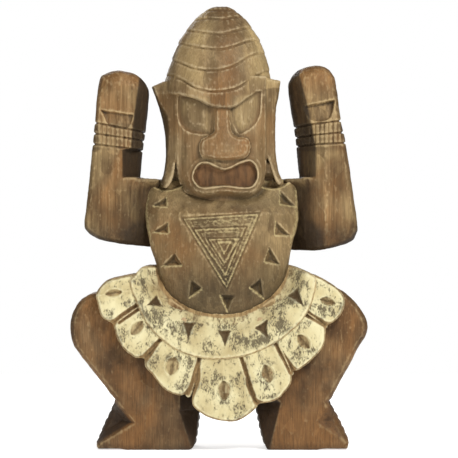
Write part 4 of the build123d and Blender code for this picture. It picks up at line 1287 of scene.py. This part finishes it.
# How bright the surroundings are as a light, and as what the camera sees.
SURROUNDING_LIGHT, SURROUNDING_LOOK = 0.26, 1.0
# The floor's reach from the middle and the radius of its corners, in hundredths of the height.
FLOOR_REACH, FLOOR_CORNER = 300, 60
CORNER_STEPS = 8
FLOOR_GLOW = 0.62


def spot(x, y, z):
    """A place in hundredths of the height, in metres."""
    return AXIS + Vector((x, y, z)) * UNIT


def place(thing, location, target):
    """Puts a camera or light somewhere and points it at a target."""
    bpy.context.scene.collection.objects.link(thing)
    thing.location = location
    thing.rotation_euler = (target - location).to_track_quat("-Z", "Y").to_euler()


def soft_light(name, location, size, power):
    """A large square lamp aimed at the figure's middle."""
    lamp = bpy.data.lights.new(name, "AREA")
    lamp.size = size
    lamp.energy = power
    place(bpy.data.objects.new(name, lamp), spot(*location), spot(*LAMP_TARGET))


def build_studio():
    """Camera, lights, pale surroundings and floor."""
    camera = bpy.data.objects.new("camera", bpy.data.cameras.new("camera"))
    camera.data.lens = camera.data.sensor_width * CAMERA_DISTANCE / PICTURE_WIDTH
    across, height = EYE_POINT
    place(camera, spot(across, -FRONT_PLANE - CAMERA_DISTANCE, height), spot(across, 0, height))
    bpy.context.scene.camera = camera
    for lamp in LAMPS:
        soft_light(*lamp)
    world = bpy.data.worlds.new("studio")
    bpy.context.scene.world = world
    world.use_nodes = True
    tree = world.node_tree
    rays = tree.nodes.new("ShaderNodeLightPath").outputs["Is Camera Ray"]
    strength = tree.nodes.new("ShaderNodeMapRange")
    strength.inputs["To Min"].default_value = SURROUNDING_LIGHT
    strength.inputs["To Max"].default_value = SURROUNDING_LOOK
    tree.links.new(rays, strength.inputs["Value"])
    tree.links.new(strength.outputs["Result"], tree.nodes["Background"].inputs["Strength"])
    tree.nodes["Background"].inputs["Color"].default_value = (1, 1, 1, 1)
    bpy.context.scene.view_settings.view_transform = "Standard"
    build_floor()


def build_floor():
    """A wide pale floor with softly rounded corners."""
    corner = FLOOR_CORNER * UNIT
    inset = FLOOR_REACH * UNIT - corner
    rim = []
    for quarter in range(4):
        turn = quarter * math.pi / 2
        diagonal = turn + math.pi / 4
        sides = math.copysign(inset, math.cos(diagonal)), math.copysign(inset, math.sin(diagonal))
        middle = Vector((*sides, 0))
        for step in range(CORNER_STEPS + 1):
            angle = turn + step * math.pi / 2 / CORNER_STEPS
            rim.append(middle + Vector((math.cos(angle), math.sin(angle), 0)) * corner)
    mesh = bpy.data.meshes.new("floor")
    mesh.from_pydata([tuple(point) for point in rim], [], [list(range(len(rim)))])
    floor = bpy.data.objects.new("floor", mesh)
    bpy.context.scene.collection.objects.link(floor)
    finish = Finish("pale_floor")
    speckle = finish.grain((30, 30, 30))
    colour = finish.ramp(speckle, [(0.3, (0.86, 0.86, 0.85)), (0.7, (0.90, 0.90, 0.89))])
    material = finish.finish(colour, 0.8, speckle, 0.0001)
    finish.shader.inputs["Emission Color"].default_value = (1, 1, 1, 1)
    finish.shader.inputs["Emission Strength"].default_value = FLOOR_GLOW
    floor.data.materials.append(material)


build_figure()
build_studio()
bpy.context.view_layer.update()
